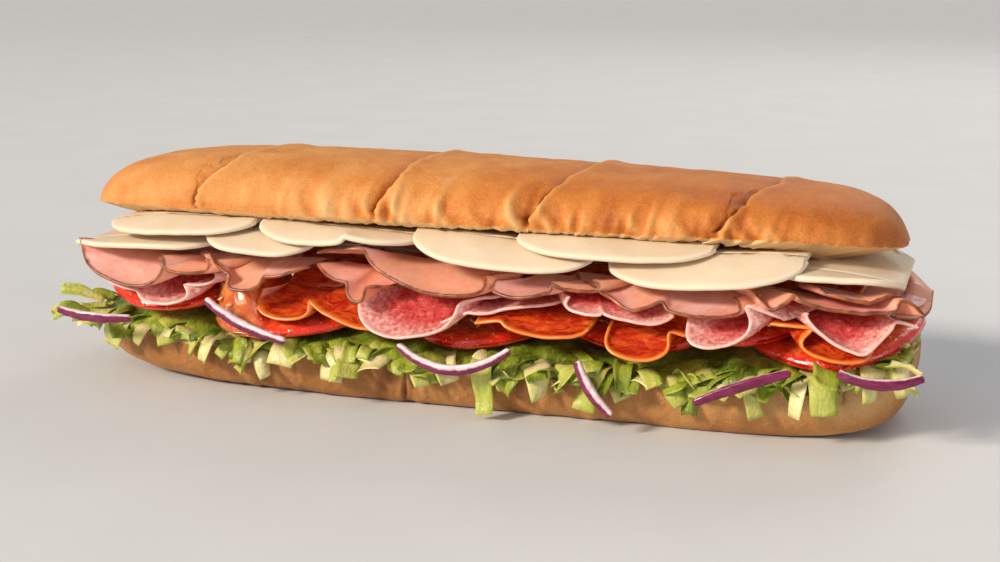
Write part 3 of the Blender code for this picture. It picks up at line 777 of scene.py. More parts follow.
def add_top_half(look):
    """The top half of the roll: crust with slashes and flutes, and the torn crumb face under it."""
    near = [np.arange(low - 3.0, high + 4.0, 0.3) for low, high, *_ in SLASHES]
    xs = np.sort(np.concatenate([roll_stations(TOP_LENGTHS, 0.85), *near]))
    xs = xs[np.concatenate([[True], np.diff(xs) > 0.12]) | (np.abs(xs) > 0.86 * TOP_LENGTHS[1])]
    count = 122
    turn = np.linspace(0.0, 1.0, count)
    angles = np.pi * (turn - 0.09 * np.sin(2 * np.pi * turn) / np.pi)
    x, angle = np.meshgrid(xs, angles, indexing="ij")
    width = TOP_HALF_WIDTH * end_taper(x, TOP_LENGTHS, TOP_PLAN_SHARPNESS)
    height = (top_apex(x) - top_cut(x)) * end_taper(x, TOP_LENGTHS, TOP_PROFILE_SHARPNESS) + EDGE_HEIGHT
    side = -np.sign(np.cos(angle)) * np.abs(np.cos(angle)) ** DOME_SIDE_POWER
    rise = np.abs(np.sin(angle)) ** DOME_RISE_POWER
    tuck = 1.0 - EDGE_TUCK * np.maximum(0.0, 1.0 - 4.0 * rise)
    crust = np.stack([x, side * width * tuck, top_cut(x) + height * rise], axis=-1)
    stand, bake_and_painted_light = crust_relief(x, angle, crust)
    calm = end_taper(x, TOP_LENGTHS, (5.0, 5.0)) * (1.0 - 0.5 * np.abs(np.cos(angle)) ** 40)
    crust = crust - grid_normals(crust) * (stand * calm)[..., None]
    line = TOP_CUT_HEIGHT + 1.4 - 2.6 * past(-x, 105, 150) ** 2 - 4.6 * past(x, 105, 149) ** 2
    line = np.maximum(line, top_cut(x) + 1.4) + 0.35 * lattice_noise(crust, (1.2, 9.0, 9.0), 40)
    below = line - crust[..., 2]
    browned = smooth_step(-below, -0.25, 0.25)
    bake_and_painted_light = bake_and_painted_light * browned
    crust[..., 2] += 0.45 * layered_noise(crust, (1.2, 6.0, 6.0), 44) * (1.0 - browned)
    shrink = 1.0 - 0.028 * np.clip(below, 0.0, 5.0)
    crust[..., :2] *= shrink[..., None]
    inner = 12
    across = np.linspace(1.0, 0.0, inner + 2)[None, 1:-1, None]
    under = crust[:, :1] * (1.0 - across) + crust[:, -1:] * across
    under[..., 2] -= 1.6 * np.sin(np.pi * across[..., 0]) ** 0.5
    under[..., 2] += 0.4 * layered_noise(under, 2.6, 48)
    points = np.concatenate([crust, under], axis=1)
    bake_and_painted_light = np.concatenate([bake_and_painted_light, np.zeros(under.shape[:2])], axis=1)
    quads = ring_quads(len(xs), count + inner)
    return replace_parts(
        add_mesh("crust_over_top", points, quads, "crust_top", look, {"bake_and_painted_light": bake_and_painted_light}), "bun_top"
    )


def bottom_relief(x, share, grid):
    """How far the crust stands out, and how brown it is over the bottom half, with painted highlight and painted
    shade added to that brownness.
    """
    edge = 1.0 - np.abs(share)
    stand = 0.6 * lattice_noise(grid, 30.0, 60) + 0.25 * layered_noise(grid, 8.0, 62)
    wrinkles = lattice_noise(np.stack([x + 10 * edge, 0 * x, 0 * x], axis=-1), 3.6, 64)
    wrinkles += 0.5 * lattice_noise(np.stack([x - 6 * edge, 0 * x, 0 * x], axis=-1), 1.9, 65)
    near = np.exp(-(((x + 15.0) / 12.0) ** 2)) + 0.8 * np.exp(-(((x - 42.0) / 16.0) ** 2))
    near += 0.25 + 0.5 * np.exp(-(((x + 75.0) / 20.0) ** 2))
    stand += 1.7 * wrinkles * near * np.exp(-((edge / 0.4) ** 2))
    crease = np.exp(-(((x + 15.0 + 6.0 * edge) / 0.8) ** 2)) * smooth_step(edge, 0.0, 0.08)
    stand -= 2.1 * crease * (1.0 - smooth_step(edge, 0.3, 0.5))
    # Paler on the raised wrinkles and darker between them: painted highlight and painted shade.
    bake_and_painted_light = 0.56 + 0.14 * lattice_noise(grid, 26.0, 66) - 0.2 * near * wrinkles * np.exp(-((edge / 0.4) ** 2))
    # Darker in the crease: painted shade.
    bake_and_painted_light += 0.4 * crease
    bake_and_painted_light -= 0.22 * smooth_step(x, 55, 120) * np.exp(-(((edge - 0.16) / 0.2) ** 2))
    bake_and_painted_light -= 0.16 * hump(edge, 0.52, 0.05) * smooth_step(np.abs(x), 95, 120) * smooth_step(-np.abs(x), -145, -130)
    return stand, bake_and_painted_light


def add_bottom_half(look):
    """The bottom half of the roll: wrinkled crust and the pale crumb face on top."""
    xs = roll_stations(BOTTOM_LENGTHS, 0.75)
    count = 110
    x, share = np.meshgrid(xs, np.linspace(-1.0, 1.0, count), indexing="ij")
    width = bottom_half_width(x)
    foot = width * FOOT_WIDTH_SHARE
    cut = bottom_cut(x)
    depth = (cut - underside(x)) * end_taper(x, BOTTOM_LENGTHS, BOTTOM_PROFILE_SHARPNESS)
    turn = np.maximum(0.0, np.abs(share) - FOOT_POINT_SHARE) / (1.0 - FOOT_POINT_SHARE) * np.pi / 2
    flat = np.minimum(1.0, np.abs(share) / FOOT_POINT_SHARE)
    out = foot * flat + (width - foot) * np.sin(turn) ** BOWL_SIDE_POWER
    low = cut - depth * np.cos(turn) ** BOWL_RISE_POWER
    crust = np.stack([x, np.sign(share) * out, low], axis=-1)
    stand, bake_and_painted_light = bottom_relief(x, share, crust)
    calm = end_taper(x, BOTTOM_LENGTHS, (5.0, 5.0)) * smooth_step(np.abs(share), 0.25, 0.5)
    crust = crust + grid_normals(crust) * (stand * calm)[..., None]
    crust[..., 2] = np.maximum(crust[..., 2], FOOT_HEIGHT)
    edge = 1.0 - np.abs(share)
    browned = smooth_step(edge + 0.012 * lattice_noise(crust, (1.4, 9.0, 9.0), 70), 0.008, 0.03)
    inner = 20
    across = np.linspace(0.0, 1.0, inner + 2)[None, 1:-1, None]
    face = crust[:, -1:] * (1.0 - across) + crust[:, :1] * across
    face[..., 2] += 0.3 + 0.5 * layered_noise(face, 2.6, 72)
    points = np.concatenate([crust, face], axis=1)
    bake_and_painted_light = np.concatenate([bake_and_painted_light * browned, np.zeros(face.shape[:2])], axis=1)
    quads = ring_quads(len(xs), count + inner)[:, ::-1]
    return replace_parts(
        add_mesh("crust_below", points, quads, "crust_bottom", look, {"bake_and_painted_light": bake_and_painted_light}), "bun_bottom"
    )


# --- The slices -----------------------------------------------------------------------------------


def fine_rim(crests, roundness, push, step=0.4):
    """The rim in small steps: a round bulge hangs from each crest to the next one.

    The third number of a point is 0 on the first bulge, 1 on the second one, 0 on the third one and so on.
    """
    points = [np.array([(*crests[0][:2], 0.0)])]
    for index, ((x0, z0, *_), (x1, z1, sag, lean)) in enumerate(zip(crests, crests[1:])):
        length = math.hypot(x1 - x0, z1 - z0) + 1.6 * abs(sag)
        part = np.linspace(0.0, 1.0, max(3, round(length / step)) + 1)[1:]
        angle = np.pi * (part - 0.5)
        share = (1 + np.sin(angle)) / 2 if sag else part
        bulge = np.maximum(0.0, np.cos(angle)) ** roundness if sag else 0.0 * part
        x = x0 + (x1 - x0) * share + (lean + push) * bulge
        if sag > DEEP_BULGE and x1 - x0 < WIDEST_POCKET:
            x = x + min(ROLLED_IN, ROLLED_IN_SHARE * (x1 - x0)) * np.sin(2 * angle)
        z = z0 + (z1 - z0) * share - sag * bulge
        points.append(np.stack([x, z, np.full(len(x), float(index % 2))], axis=-1))
    return np.concatenate(points)


def smoothed(points, reach):
    """The same line with its corners rounded, and its ends kept."""
    kernel = np.exp(-((np.arange(-3 * reach, 3 * reach + 1) / reach) ** 2))
    kernel /= kernel.sum()
    pad = 3 * reach
    first = 2 * points[0] - points[pad:0:-1]
    last = 2 * points[-1] - points[-2 : -pad - 2 : -1]
    long = np.concatenate([first, points, last])
    return np.stack([np.convolve(long[:, k], kernel, "valid") for k in range(points.shape[1])], axis=-1)


def resampled(points, step, fine):
    """The line's points at even steps along it, and how far along the line each one is."""
    lengths = np.linalg.norm(np.diff(points, axis=0), axis=1)
    travelled = np.concatenate([[0.0], np.cumsum(lengths)])
    places = spread(travelled[-1], step, fine)
    return np.stack([np.interp(places, travelled, column) for column in points.T], axis=-1), places


def settled(x, height):
    pressed = (height - SETTLE_FROM) / (SETTLE_TO - SETTLE_FROM)
    return height + (top_cut(x) - TOP_CUT_HEIGHT) * pressed


def end_narrowing(x):
    share = np.minimum(1.0, np.abs(x) / np.where(x < 0, *LAYER_LENGTHS))
    return np.sqrt(np.maximum(0.2, 1.0 - share**8))


def slice_middle(rim, places, reach, left, right, sweep, flat_half_width, rounding, wave, pressed):
    """The middle surface of a slice from its front rim to its back rim, and the distance from those rims."""
    x, z = rim[:, 0], rim[:, 1]
    share = places / places[-1]
    even = np.clip(0.5 * share + 0.5 * (x - x[0]) / (x[-1] - x[0]), 0.0, 1.0)
    middle_x = x[0] + (x[-1] - x[0]) * even
    middle_z = settled(middle_x, left + (right - left) * even)
    corner = 1.0 - rounding * np.abs(2 * share - 1) ** 4
    out = flat_half_width + (reach - flat_half_width) * corner
    out = out - CREST_RECESS * np.clip(z - z.min(), 0.0, 9.0) * (wave > 0.0)
    narrow = end_narrowing(middle_x)
    ahead = 1.0 - FRONT_NARROWING * (1.0 - narrow)
    z = middle_z + (z - middle_z) * (0.3 + 0.7 * corner)
    flat_z = middle_z + wave * (z - middle_z)
    swept = sweep[0] + (sweep[1] - sweep[0]) * even
    back_x = x + 6.0 * np.sin(x / 37.0 + 1.0)
    back_z = z + 1.2 * np.sin(x / 23.0 + 2.0)
    depth = out - flat_half_width
    distances = np.array([0.0, 0.13, 0.36, 0.8, 1.6, 2.8, 4.4, 6.2, 8.2, 10.4, 12.8, 15.4, 18.2, 100.0])
    rows = []
    edge = []
    for distance in distances:
        r = np.minimum(1.0, distance / depth)
        droop = smooth_step(r, 0.0, 1.0) if wave else 1.0 - (1.0 - r) ** 1.5
        px = x + (middle_x - x) * r + swept * np.sin(np.pi / 2 * r)
        rows.append(np.stack([px, -(out - depth * r) * ahead, z + (flat_z - z) * droop], axis=-1))
        edge.append(np.full(len(x), min(distance, 22.0)))
    for across in np.linspace(0.06, 0.94, 12):
        y = -flat_half_width * ahead * (1 - across) + flat_half_width * narrow * across
        px = middle_x + swept * (1.0 - smooth_step(across, 0.0, 0.8))
        rows.append(np.stack([px, y, flat_z - pressed * math.sin(math.pi * across)], axis=-1))
        edge.append(np.full(len(x), 22.0))
    for distance in distances[::-1]:
        r = np.minimum(1.0, distance / depth)
        droop = 1.0 - (1.0 - r) ** 1.5
        y = (flat_half_width + (BACK_REACH * out - flat_half_width) * (1.0 - r)) * narrow
        rows.append(
            np.stack([back_x + (middle_x - back_x) * r, y, back_z + (flat_z - back_z) * droop], axis=-1)
        )
        edge.append(np.full(len(x), min(distance, 22.0)))
    return np.array(rows), np.array(edge)


def add_slice(node, entry, sweep, thickness, shape, lift, ripple, look):
    """One fine slice in place of the node."""
    reach, left, right, crests = entry
    wave = shape[2]
    fine = (0.0, 0.13, 0.36, 0.8)
    rim, places = resampled(smoothed(fine_rim(crests, 0.8 if wave else 0.42, 0.3 * sum(sweep) / 2), RIM_SOFTNESS), 1.15, fine)
    middle, edge = slice_middle(rim, places, reach, left, right, sweep, *shape)
    middle[..., 2] += lift * smooth_step(-middle[..., 0], 100.0, 140.0)
    seed = sum(map(ord, node))
    loose = np.clip(1.0 - edge / 24.0, 0.15, 1.0)
    middle[..., 2] += ripple * loose * layered_noise(middle, 9.0, seed)
    middle[..., 1] += 1.3 * ripple * loose * lattice_noise(middle, 11.0, seed + 7)
    along = np.minimum(places, places[-1] - places)[None, :]
    nearest = np.minimum(edge, np.broadcast_to(along, edge.shape))
    points, quads = thick_sheet(middle, thickness * rounded_edge(nearest, thickness))
    kind = node.rsplit("_", 1)[0]
    fields = {
        "edge": np.concatenate([nearest, nearest]) / 10.0,
        "upper": np.concatenate([np.ones(nearest.shape), np.zeros(nearest.shape)]),
        # Every second fold of the rim, where the ham's look paints warm light.
        "painted_light_folds": np.tile(rim[:, 2], 2 * len(nearest)),
    }
    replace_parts(add_mesh(f"fine_{node}", points, quads, kind, look, fields), node)


def add_slices():
    """Every slice. In the middle of the roll the meats press against each other, so that no light gets through."""
    meat = (MEAT_FLAT_HALF_WIDTH, MEAT_ROUNDING, MEAT_WAVE_INSIDE)
    cheese = (CHEESE_FLAT_HALF_WIDTH, CHEESE_ROUNDING, 0.0, 0.0)
    straight = [(0, 0)] * len(CHEESE)
    kinds = [
        ("cheese", CHEESE, straight, CHEESE_THICKNESS, cheese, -1.6, 0.2, cheese_look()),
        ("ham", HAM, HAM_SWEEPS, HAM_THICKNESS, (*meat, 6.0), 2.6, 0.5, ham_look()),
        ("salami", SALAMI, SALAMI_SWEEPS, SALAMI_THICKNESS, (*meat, 0.0), 1.0, 0.5, salami_look()),
        ("pepperoni", PEPPERONI, PEPPERONI_SWEEPS, PEPPERONI_THICKNESS, (*meat, -10.0), 0.0, 0.4, pepperoni_look()),
    ]
    for kind, entries, sweeps, thickness, shape, lift, ripple, look in kinds:
        for index, (entry, sweep) in enumerate(zip(entries, sweeps)):
            add_slice(f"{kind}_{index + 1}", entry, sweep, thickness, shape, lift, ripple, look)


# --- Tomatoes, onions and lettuce -----------------------------------------------------------------


def add_tomato(index, entry, look):
    """A slice with a glossy skin, firm walls and sunken chambers of gel."""
    x, y, radius, height, rise = entry
    shares = np.array([0.02, 0.15, 0.3, 0.42, 0.54, 0.64, 0.73, 0.81, 0.88, 0.93, 0.965, 0.985, 0.996, 1.0])
    share, angle = np.meshgrid(shares, np.linspace(0, 2 * np.pi, 121)[:-1], indexing="ij")
    chambers = smooth_step(np.cos(5 * angle + index), -0.2, 0.5)
    gel = chambers * smooth_step(share, 0.3, 0.5) * (1.0 - smooth_step(share, 0.72, 0.84))
    reach = 1.03 * radius * share * (1.0 + 0.025 * np.sin(3 * angle + index))
    if index == SWOLLEN_TOMATO:
        reach = reach * (1.0 + 0.3 * hump(angle, 3.95, 0.5))
    px = reach * np.cos(angle)
    py = TOMATO_STRETCH * reach * np.sin(angle)
    sag = TOMATO_SAG * (py / radius / TOMATO_STRETCH) ** 2
    level = height - rise * px - sag
    half = TOMATO_THICKNESS / 2 * np.sqrt(1.0 - np.clip((share - 0.93) / 0.07, 0.0, 1.0) ** 2)
    layers = []
    for side in (1, -1):
        plane = np.stack([x + px, y + py, level + side * half], axis=-1)
        plane[..., 2] += side * (0.22 * layered_noise(plane, 5.0, 80 + index) - 0.7 * gel)
        if index == SWOLLEN_TOMATO and side > 0:
            open_part = smooth_step(-px, 9.0, 16.0) * smooth_step(-py, 0.0, 14.0)
            plane[..., 2] += open_part * smooth_step(-share, -1.0, -0.93) * (14.0 + layered_noise(plane, 4.0, 90))
            gel = np.maximum(gel, open_part * smooth_step(share, 0.6, 0.9))
        layers.append(plane)
    points = np.concatenate([layers[0], layers[1][::-1]])
    skin = smooth_step(share, 0.955, 0.985) * (1.0 - smooth_step(gel, 0.2, 0.6))
    fields = {
        "skin": np.concatenate([skin, skin[::-1]]),
        "gel": np.concatenate([gel, gel[::-1]]),
    }
    quads = ring_quads(len(points), points.shape[1])
    quads = quads[:, ::-1]
    node = f"tomato_{index + 1}"
    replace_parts(add_mesh(f"fine_{node}", points, quads, "tomato", look, fields), node)
    return layers[0], gel


def ellipsoid(centre, axes, rings=6, count=8):
    """Points and faces of a small closed seed shape, pointed at one end."""
    turn, angle = np.meshgrid(np.linspace(0.02, np.pi - 0.02, rings), np.arange(count) / count * 2 * np.pi)
    turn, angle = turn.T, angle.T
    slim = 0.75 + 0.25 * np.cos(turn)
    local = np.stack([np.cos(turn), np.sin(turn) * np.cos(angle) * slim, np.sin(turn) * np.sin(angle)], -1)
    return centre + local @ np.asarray(axes), ring_quads(rings, count)


def random_axes(length, width, thickness, flat):
    """Three axes of an ellipsoid that lies roughly flat, turned at random."""
    turn = RNG.uniform(0, 2 * np.pi)
    tilt = RNG.normal(0, flat)
    first = np.array([np.cos(turn), np.sin(turn), tilt])
    first /= np.linalg.norm(first)
    up = np.array([RNG.normal(0, flat), RNG.normal(0, flat), 1.0])
    second = np.cross(up, first)
    second /= np.linalg.norm(second)
    return np.array([first * length / 2, second * width / 2, np.cross(first, second) * thickness / 2])


def joined(parts):
    """Many small (points, faces) as one."""
    start = 0
    points, quads = [], []
    for part_points, part_quads in parts:
        part_points = part_points.reshape(-1, 3)
        points.append(part_points)
        quads.append(part_quads + start)
        start += len(part_points)
    return np.concatenate(points), np.concatenate(quads)


def add_tomatoes():
    """The slices, with loose seeds in their gel and drops of juice along their edges."""
    look = tomato_look()
    seeds = []
    drops = []
    for index, entry in enumerate(TOMATOES):
        face, gel = add_tomato(index, entry, look)
        wet = np.argwhere((gel > 0.35) & (face[..., 1] < -4.0))
        for ring, step in wet[RNG.choice(len(wet), min(len(wet), 26), replace=False)]:
            place = face[ring, step] + np.array([RNG.normal(0, 0.6), RNG.normal(0, 0.6), 0.3])
            seeds.append(ellipsoid(place, random_axes(RNG.uniform(2.2, 3.0), 1.6, 0.9, 0.4)))
        outer = np.argwhere((face[..., 1] < -20.0) & (np.arange(len(face)) > 8)[:, None])
        for ring, step in outer[RNG.choice(len(outer), 36, replace=False)]:
            size = RNG.uniform(0.5, 1.3)
            place = face[ring, step] + np.array([RNG.normal(0, 0.5), -0.1, RNG.uniform(-0.6, 0.2)])
            drops.append(ellipsoid(place, random_axes(size, size, 0.7 * size, 0.5)))
    add_mesh("tomato_seeds", *joined(seeds), "tomato", seed_look())
    add_mesh("tomato_drops", *joined(drops), "tomato", juice_look())


def add_onions():
    """Bent strips with a rounded section and purple skin along one side."""
    look = onion_look()
    share = np.linspace(0.0, 1.0, 61)[:, None]
    around = np.linspace(0.0, 2 * np.pi, 21)[:-1]
    for index, bend in enumerate(ONIONS):
        start, middle, end = (np.array(point, float) for point in bend)
        outward = np.array([0.0, math.copysign(1.0, middle[1]), 0.0])
        line = (1 - share) ** 2 * start + 2 * share * (1 - share) * middle + share**2 * end
        heading = (1 - share) * (middle - start) + share * (end - middle)
        heading /= np.linalg.norm(heading, axis=1, keepdims=True)
        side = np.cross(heading, outward)
        side /= np.linalg.norm(side, axis=1, keepdims=True)
        side *= np.sign(-side[:, 2:3])
        front = np.cross(side, heading)
        front *= np.sign(front @ outward)[:, None]
        tip = np.clip(np.minimum(share, 1 - share) / 0.012, 0.0, 1.0) ** 0.5
        slim = (0.7 + 0.3 * np.sin(np.pi * share)) * (0.25 + 0.75 * tip)
        across = np.sign(np.cos(around)) * np.abs(np.cos(around)) ** 0.6
        through = np.sign(np.sin(around)) * np.abs(np.sin(around)) ** 0.6
        wide = side[:, None, :] * (ONION_WIDTH / 2 * slim[:, :, None]) * across[None, :, None]
        deep = front[:, None, :] * (ONION_THICKNESS / 2 * (0.25 + 0.75 * tip)[:, :, None])
        points = line[:, None, :] + wide + deep * through[None, :, None]
        points += 0.12 * layered_noise(points, 3.0, 100 + index)[..., None]
        turn = ONION_TURNS[index]
        skin = 0.5 + 0.5 * (math.cos(turn) * across + math.sin(turn) * through)
        fields = {"skin": np.broadcast_to(skin, points.shape[:2])}
        node = f"onion_{index + 1}"
        quads = ring_quads(len(points), len(around))
        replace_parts(add_mesh(f"fine_{node}", points, quads, "onion", look, fields), node)


def lettuce_roof(x):
    left = 4.5 * np.minimum(1.0, past(-np.asarray(x), 88, 100))
    right = 2.4 * np.minimum(1.0, past(x, 92, 102))
    return LETTUCE_ROOF + left + right


def lettuce_core():
    """The inside of the heap: a lumpy body that the shreds cover."""
    xs = np.linspace(-148.0, 150.0, 200)
    turn = np.linspace(0.0, 2 * np.pi, 65)[:-1]
    x, angle = np.meshgrid(xs, turn, indexing="ij")
    narrow = end_taper(x, (150.0, 153.0), (7.0, 9.0))
    floor = bottom_cut(x) + 0.5
    roof = np.maximum(lettuce_roof(x), floor + 2.0)
    across = np.sign(np.cos(angle)) * np.abs(np.cos(angle)) ** 0.45
    up = np.maximum(0.0, np.sin(angle)) ** 0.6
    crown = HEAP_HEIGHT * (1.0 - np.abs(across)) ** 0.7
    y = across * 39.0 * narrow
    z = floor + (roof + crown - floor) * up * narrow
    points = np.stack([x, y, z], axis=-1)
    points += 1.6 * grid_normals(points) * layered_noise(points, 7.0, 120)[..., None]
    green = 0.66 + 0.3 * layered_noise(points, 9.0, 124)
    quads = ring_quads(len(xs), len(turn))
    return points, quads, green


def shred(start, side, drift, hang_from, length, pitch, width, curl, twist, tone):
    """A ribbon of leaf that runs out over the edge and hangs down. Its grid has 7 points across."""
    steps = 16
    share = np.linspace(0.0, 1.0, steps)
    travelled = share * length
    fall = pitch[0] + (pitch[1] - pitch[0]) * smooth_step(travelled, hang_from - 3.0, hang_from + 4.5)
    fall = fall + 0.25 * np.sin(travelled / 3.1 + 6.0 * tone)
    heading = np.stack([drift * np.ones(steps), side * np.cos(fall), -np.sin(fall)], axis=-1)
    heading /= np.linalg.norm(heading, axis=1, keepdims=True)
    stride = length / (steps - 1)
    line = start + np.concatenate([[np.zeros(3)], np.cumsum(heading[:-1] * stride, axis=0)])
    wide = np.cross(heading, [0.0, 1.0, 0.001] if abs(drift) > 3 else [0.0, side * 0.3, 1.0])
    wide /= np.linalg.norm(wide, axis=1, keepdims=True)
    up = np.cross(wide, heading)
    spin = (twist * share)[:, None]
    wide, up = wide * np.cos(spin) + up * np.sin(spin), up * np.cos(spin) - wide * np.sin(spin)
    across = np.linspace(-1.0, 1.0, 7)
    ends = 0.9 + 0.1 * np.sin(np.pi * share)
    body = ends[:, None, None] * width / 2 * across[None, :, None] * wide[:, None, :]
    bow = curl * (across[None, :] ** 2 - 0.35)
    wave = 0.05 * width * across[None, :] * np.sin(travelled / 2.6 + 9 * tone)[:, None]
    middle = line[:, None, :] + body + (bow + wave)[..., None] * up[:, None, :]
    middle += 0.45 * lattice_noise(middle, 6.0, int(50 * abs(tone)) + 130)[..., None]
    thickness = np.full(middle.shape[:2], 0.55)
    thickness[[0, -1]] = 0.2
    thickness[:, [0, -1]] = 0.2
    points, quads = thick_sheet(middle, thickness)
    green = tone + 0.16 * across[None, :] * np.sin(7 * tone + 2 * share[:, None])
    green = green + 0.1 * np.sin(5 * share[:, None] + 11 * tone) - 0.12 * hump(across, 0.0, 0.3)[None, :]
    return points, quads, np.concatenate([green.ravel(), green.ravel()])


def hanging_shreds():
    """The shreds that hang over the front edge at their places, and others like them at the back."""
    found = []
    for x, tip, drift, width in HANGING:
        inside = min(max(x, -150.0), 150.0)
        top = float(bottom_cut(inside)) + 3.4
        reach = float(bottom_half_width(0.95 * inside)) + 1.0
        start_y = reach - 9.0
        drop = max(1.0, top - tip)
        length = 9.0 + 2.0 + drop
        tone = RNG.uniform(0.05, 0.42)
        start = np.array([x - drift * length * 0.6, -start_y, top])
        pitch = (RNG.uniform(-0.15, 0.05), RNG.uniform(1.3, 1.5))
        curl = RNG.uniform(-1.2, 1.6)
        found.append(shred(start, -1, drift, 9.0, length, pitch, width, curl, RNG.normal(0, 0.35), tone))
        mirrored = np.array([-x, start_y * 0.98, top])
        length = 9.0 + 2.0 + max(1.0, drop * RNG.uniform(0.5, 1.0))
        tone = RNG.uniform(0.12, 0.6)
        found.append(shred(mirrored, 1, -drift, 9.0, length, pitch, width, curl, 0.3, tone))
    return found


def edge_shreds(count):
    """Shreds that lie across the edge all along both sides, and turn down a little."""
    found = []
    for _ in range(count):
        side = RNG.choice([-1, 1], p=[0.62, 0.38])
        x = RNG.uniform(-150, 151)
        reach = float(bottom_half_width(0.96 * x))
        top = float(lettuce_roof(x)) - RNG.uniform(0.8, 5.0)
        inset = RNG.uniform(2.0, 13.0)
        start = np.array([x, side * max(2.0, reach - inset), max(top, float(bottom_cut(x)) + 1.2)])
        length = inset + RNG.uniform(4.0, 12.0)
        pitch = (RNG.uniform(-0.35, 0.2), RNG.uniform(0.2, 1.5))
        drift = RNG.normal(0, 0.9)
        width = RNG.uniform(4.5, 10.0)
        tone = RNG.uniform(0.02, 0.8)
        curl = RNG.normal(0, 0.9)
        hang_from = inset + RNG.uniform(-1.0, 2.0)
        twist = RNG.normal(0, 0.4)
        found.append(shred(start, side, drift, hang_from, length, pitch, width, curl, twist, tone))
    return found


def end_shreds():
    """Shreds that stick out past the two ends of the roll."""
    found = []
    for sign, count in ((-1, 15), (1, 15)):
        edge = 143.0 if sign < 0 else 144.0
        for k in range(count):
            spot = (k + 0.5) / count * 2.0 - 1.0
            y = 30.0 * spot - 4.0
            x = sign * (edge - 4.0 * spot * spot)
            start = np.array([x, y, float(bottom_cut(x)) + RNG.uniform(0.5, 5.5)])
            direction = -1 if spot < 0 else 1
            drift = sign * RNG.uniform(1.2, 2.6)
            length = RNG.uniform(7.0, 12.5)
            pitch = (RNG.uniform(-0.9, 0.1), RNG.uniform(0.6, 1.4))
            width = RNG.uniform(3.5, 6.5)
            tone = RNG.uniform(0.15, 0.7)
            curl = RNG.normal(0, 1.0)
            found.append(shred(start, direction, drift, 7.0, length, pitch, width, curl, RNG.normal(0, 0.7), tone))
    return found


def stray_shreds():
    """Long shreds that stick out at the two front corners: place, drift, length, turn down, width and tone."""
    places = [
        ((-131.0, -41.0, 30.0), -2.1, 16.0, (-0.9, -0.3), 4.2, 0.3),
        ((-138.0, -41.0, 24.0), -1.1, 14.0, (-0.5, 1.5), 5.0, 0.5),
        ((-143.0, -38.0, 25.0), -1.4, 11.0, (0.2, 1.5), 4.5, 0.35),
        ((146.0, -39.0, 28.0), 2.6, 15.0, (-0.3, 1.6), 5.5, 0.05),
        ((148.0, -36.0, 22.0), 1.8, 12.0, (0.2, 1.5), 5.0, 0.2),
    ]
    return [
        shred(np.array(start), -1, drift, 8.0, length, pitch, width, 1.1, 0.9, tone)
        for start, drift, length, pitch, width, tone in places
    ]


def add_lettuce():
    look = lettuce_look()
    core_points, core_quads, core_green = lettuce_core()
    shreds = hanging_shreds() + edge_shreds(190) + end_shreds() + stray_shreds()
    parts = [(core_points, core_quads)] + [(points, quads) for points, quads, _ in shreds]
    points, quads = joined(parts)
    green = np.concatenate([core_green.ravel()] + [tone for _, _, tone in shreds])
    points[:, 2] = np.maximum(points[:, 2], FOOT_HEIGHT + 0.3)
    beyond = (np.abs(points[:, 0]) - SHREDS_DRAWN_IN_FROM).clip(0.0)
    points[:, 0] -= np.sign(points[:, 0]) * beyond * (1.0 - SHREDS_DRAWN_IN_TO)
    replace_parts(add_mesh("lettuce_shreds", points, quads, "lettuce", look, {"green": green}), "lettuce")


# --- The stage ------------------------------------------------------------------------------------


def floor_look():
    look = Look("floor")
    look.join(Base_Color=look.ramp(look.noise(60.0, 3.0), (0.3, (0.68, 0.69, 0.71)), (0.7, (0.71, 0.72, 0.74))))
    look.set(Roughness=0.6)
    return look.finish()


def add_floor():
    """A plain round floor."""
    rings = np.array([0.001, 400.0, 1200.0, 3000.0, 9000.0])
    turn = np.linspace(0.0, 2 * np.pi, 65)[:-1]
    flat = np.zeros((len(rings), len(turn)))
    grid = np.stack([rings[:, None] * np.cos(turn), rings[:, None] * np.sin(turn), flat], axis=-1)
    quads = ring_quads(len(rings), len(turn))
    floor = add_mesh("floor", grid + ORIGIN, quads, None, floor_look())


def aim(thing, place, target):
    """Puts a light or a camera at a place and turns it to a target, both in millimetres in the frame."""
    from mathutils import Vector

    thing.location = Vector(place) * MM
    thing.rotation_euler = (Vector(target) * MM - thing.location).to_track_quat("-Z", "Y").to_euler()


def add_lamp(name, kind, place, power, colour, **settings):
    lamp = bpy.data.lights.new(name, kind)
    lamp.energy = power
    lamp.color = colour
    for key, value in settings.items():
        setattr(lamp, key, value)
    light = bpy.data.objects.new(name, lamp)
    bpy.context.scene.collection.objects.link(light)
    aim(light, place, (0.0, 0.0, 40.0))


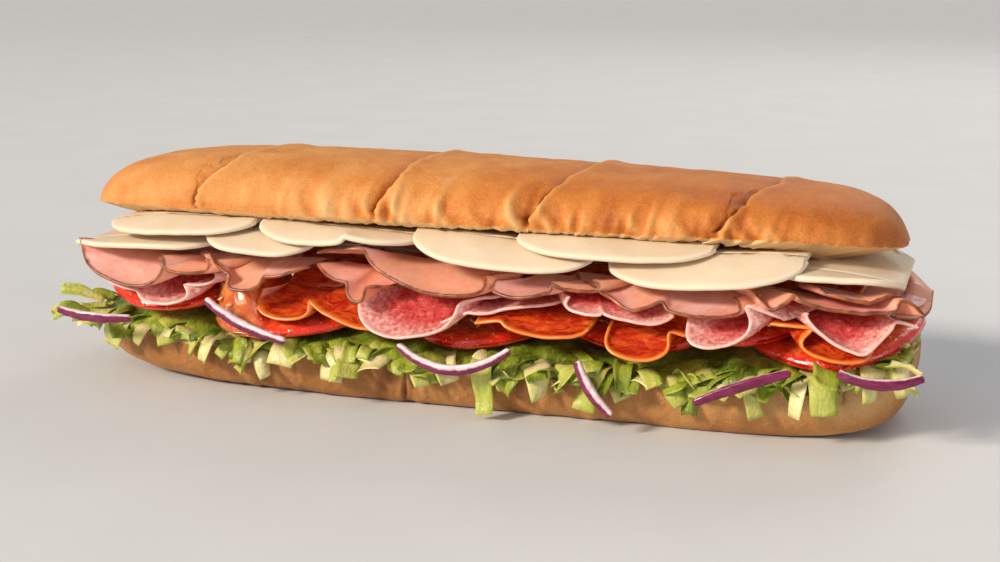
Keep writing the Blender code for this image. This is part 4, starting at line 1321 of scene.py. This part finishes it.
def add_lights():
    """A soft warm key from the upper left, panels for glints, and a pale room."""
    warm = (1.0, 0.90, 0.76)
    add_lamp("key", "SUN", (-560.0, -640.0, 500.0), 3.1, warm, angle=math.radians(11.0))
    panel = {"shape": "RECTANGLE", "size": 1.0, "size_y": 0.6}
    add_lamp("front_panel", "AREA", (-660.0, -1400.0, 840.0), 4.8, warm, **panel)
    add_lamp("right_panel", "AREA", (1520.0, -840.0, 600.0), 4.4, (1.0, 0.97, 0.93), **panel)
    add_lamp("back_panel", "AREA", (500.0, 1520.0, 1240.0), 6.0, (1.0, 0.95, 0.88), **panel)
    world = bpy.data.worlds.new("studio")
    bpy.context.scene.world = world
    world.use_nodes = True
    world.node_tree.nodes["Background"].inputs["Color"].default_value = (0.98, 0.98, 1.0, 1.0)
    world.node_tree.nodes["Background"].inputs["Strength"].default_value = 0.36
    bpy.context.scene.view_settings.view_transform = "Standard"


def add_camera():
    turn, lift = math.radians(VIEW_AZIMUTH), math.radians(VIEW_ELEVATION)
    back = np.array([math.sin(turn) * math.cos(lift), -math.cos(turn) * math.cos(lift), math.sin(lift)])
    lens = bpy.data.cameras.new("photo_view")
    lens.lens = VIEW_LENS
    camera = bpy.data.objects.new("photo_view", lens)
    bpy.context.scene.collection.objects.link(camera)
    aim(camera, np.array(VIEW_TARGET) + back * VIEW_DISTANCE, VIEW_TARGET)
    bpy.context.scene.camera = camera


def placing_origin():
    """The frame's origin in the coordinates used here, from the boxes of the two halves of the roll."""
    low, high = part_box("bun_top")
    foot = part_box("bun_bottom")[0]
    tip = -TOP_LENGTHS[0] * 0.9985
    return np.array([tip - low.x / MM, -(low.y + high.y) / 2 / MM, FOOT_HEIGHT - foot.z / MM])


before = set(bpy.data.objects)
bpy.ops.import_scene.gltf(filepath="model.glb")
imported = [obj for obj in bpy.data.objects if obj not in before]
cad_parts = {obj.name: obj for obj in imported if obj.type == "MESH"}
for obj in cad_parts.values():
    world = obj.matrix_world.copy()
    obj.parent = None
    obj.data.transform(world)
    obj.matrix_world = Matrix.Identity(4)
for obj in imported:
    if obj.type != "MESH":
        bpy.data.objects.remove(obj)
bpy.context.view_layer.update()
ORIGIN = placing_origin()
add_top_half(top_crust_look())
add_bottom_half(bottom_crust_look())
add_slices()
add_tomatoes()
add_onions()
add_lettuce()
add_floor()
add_lights()
add_camera()
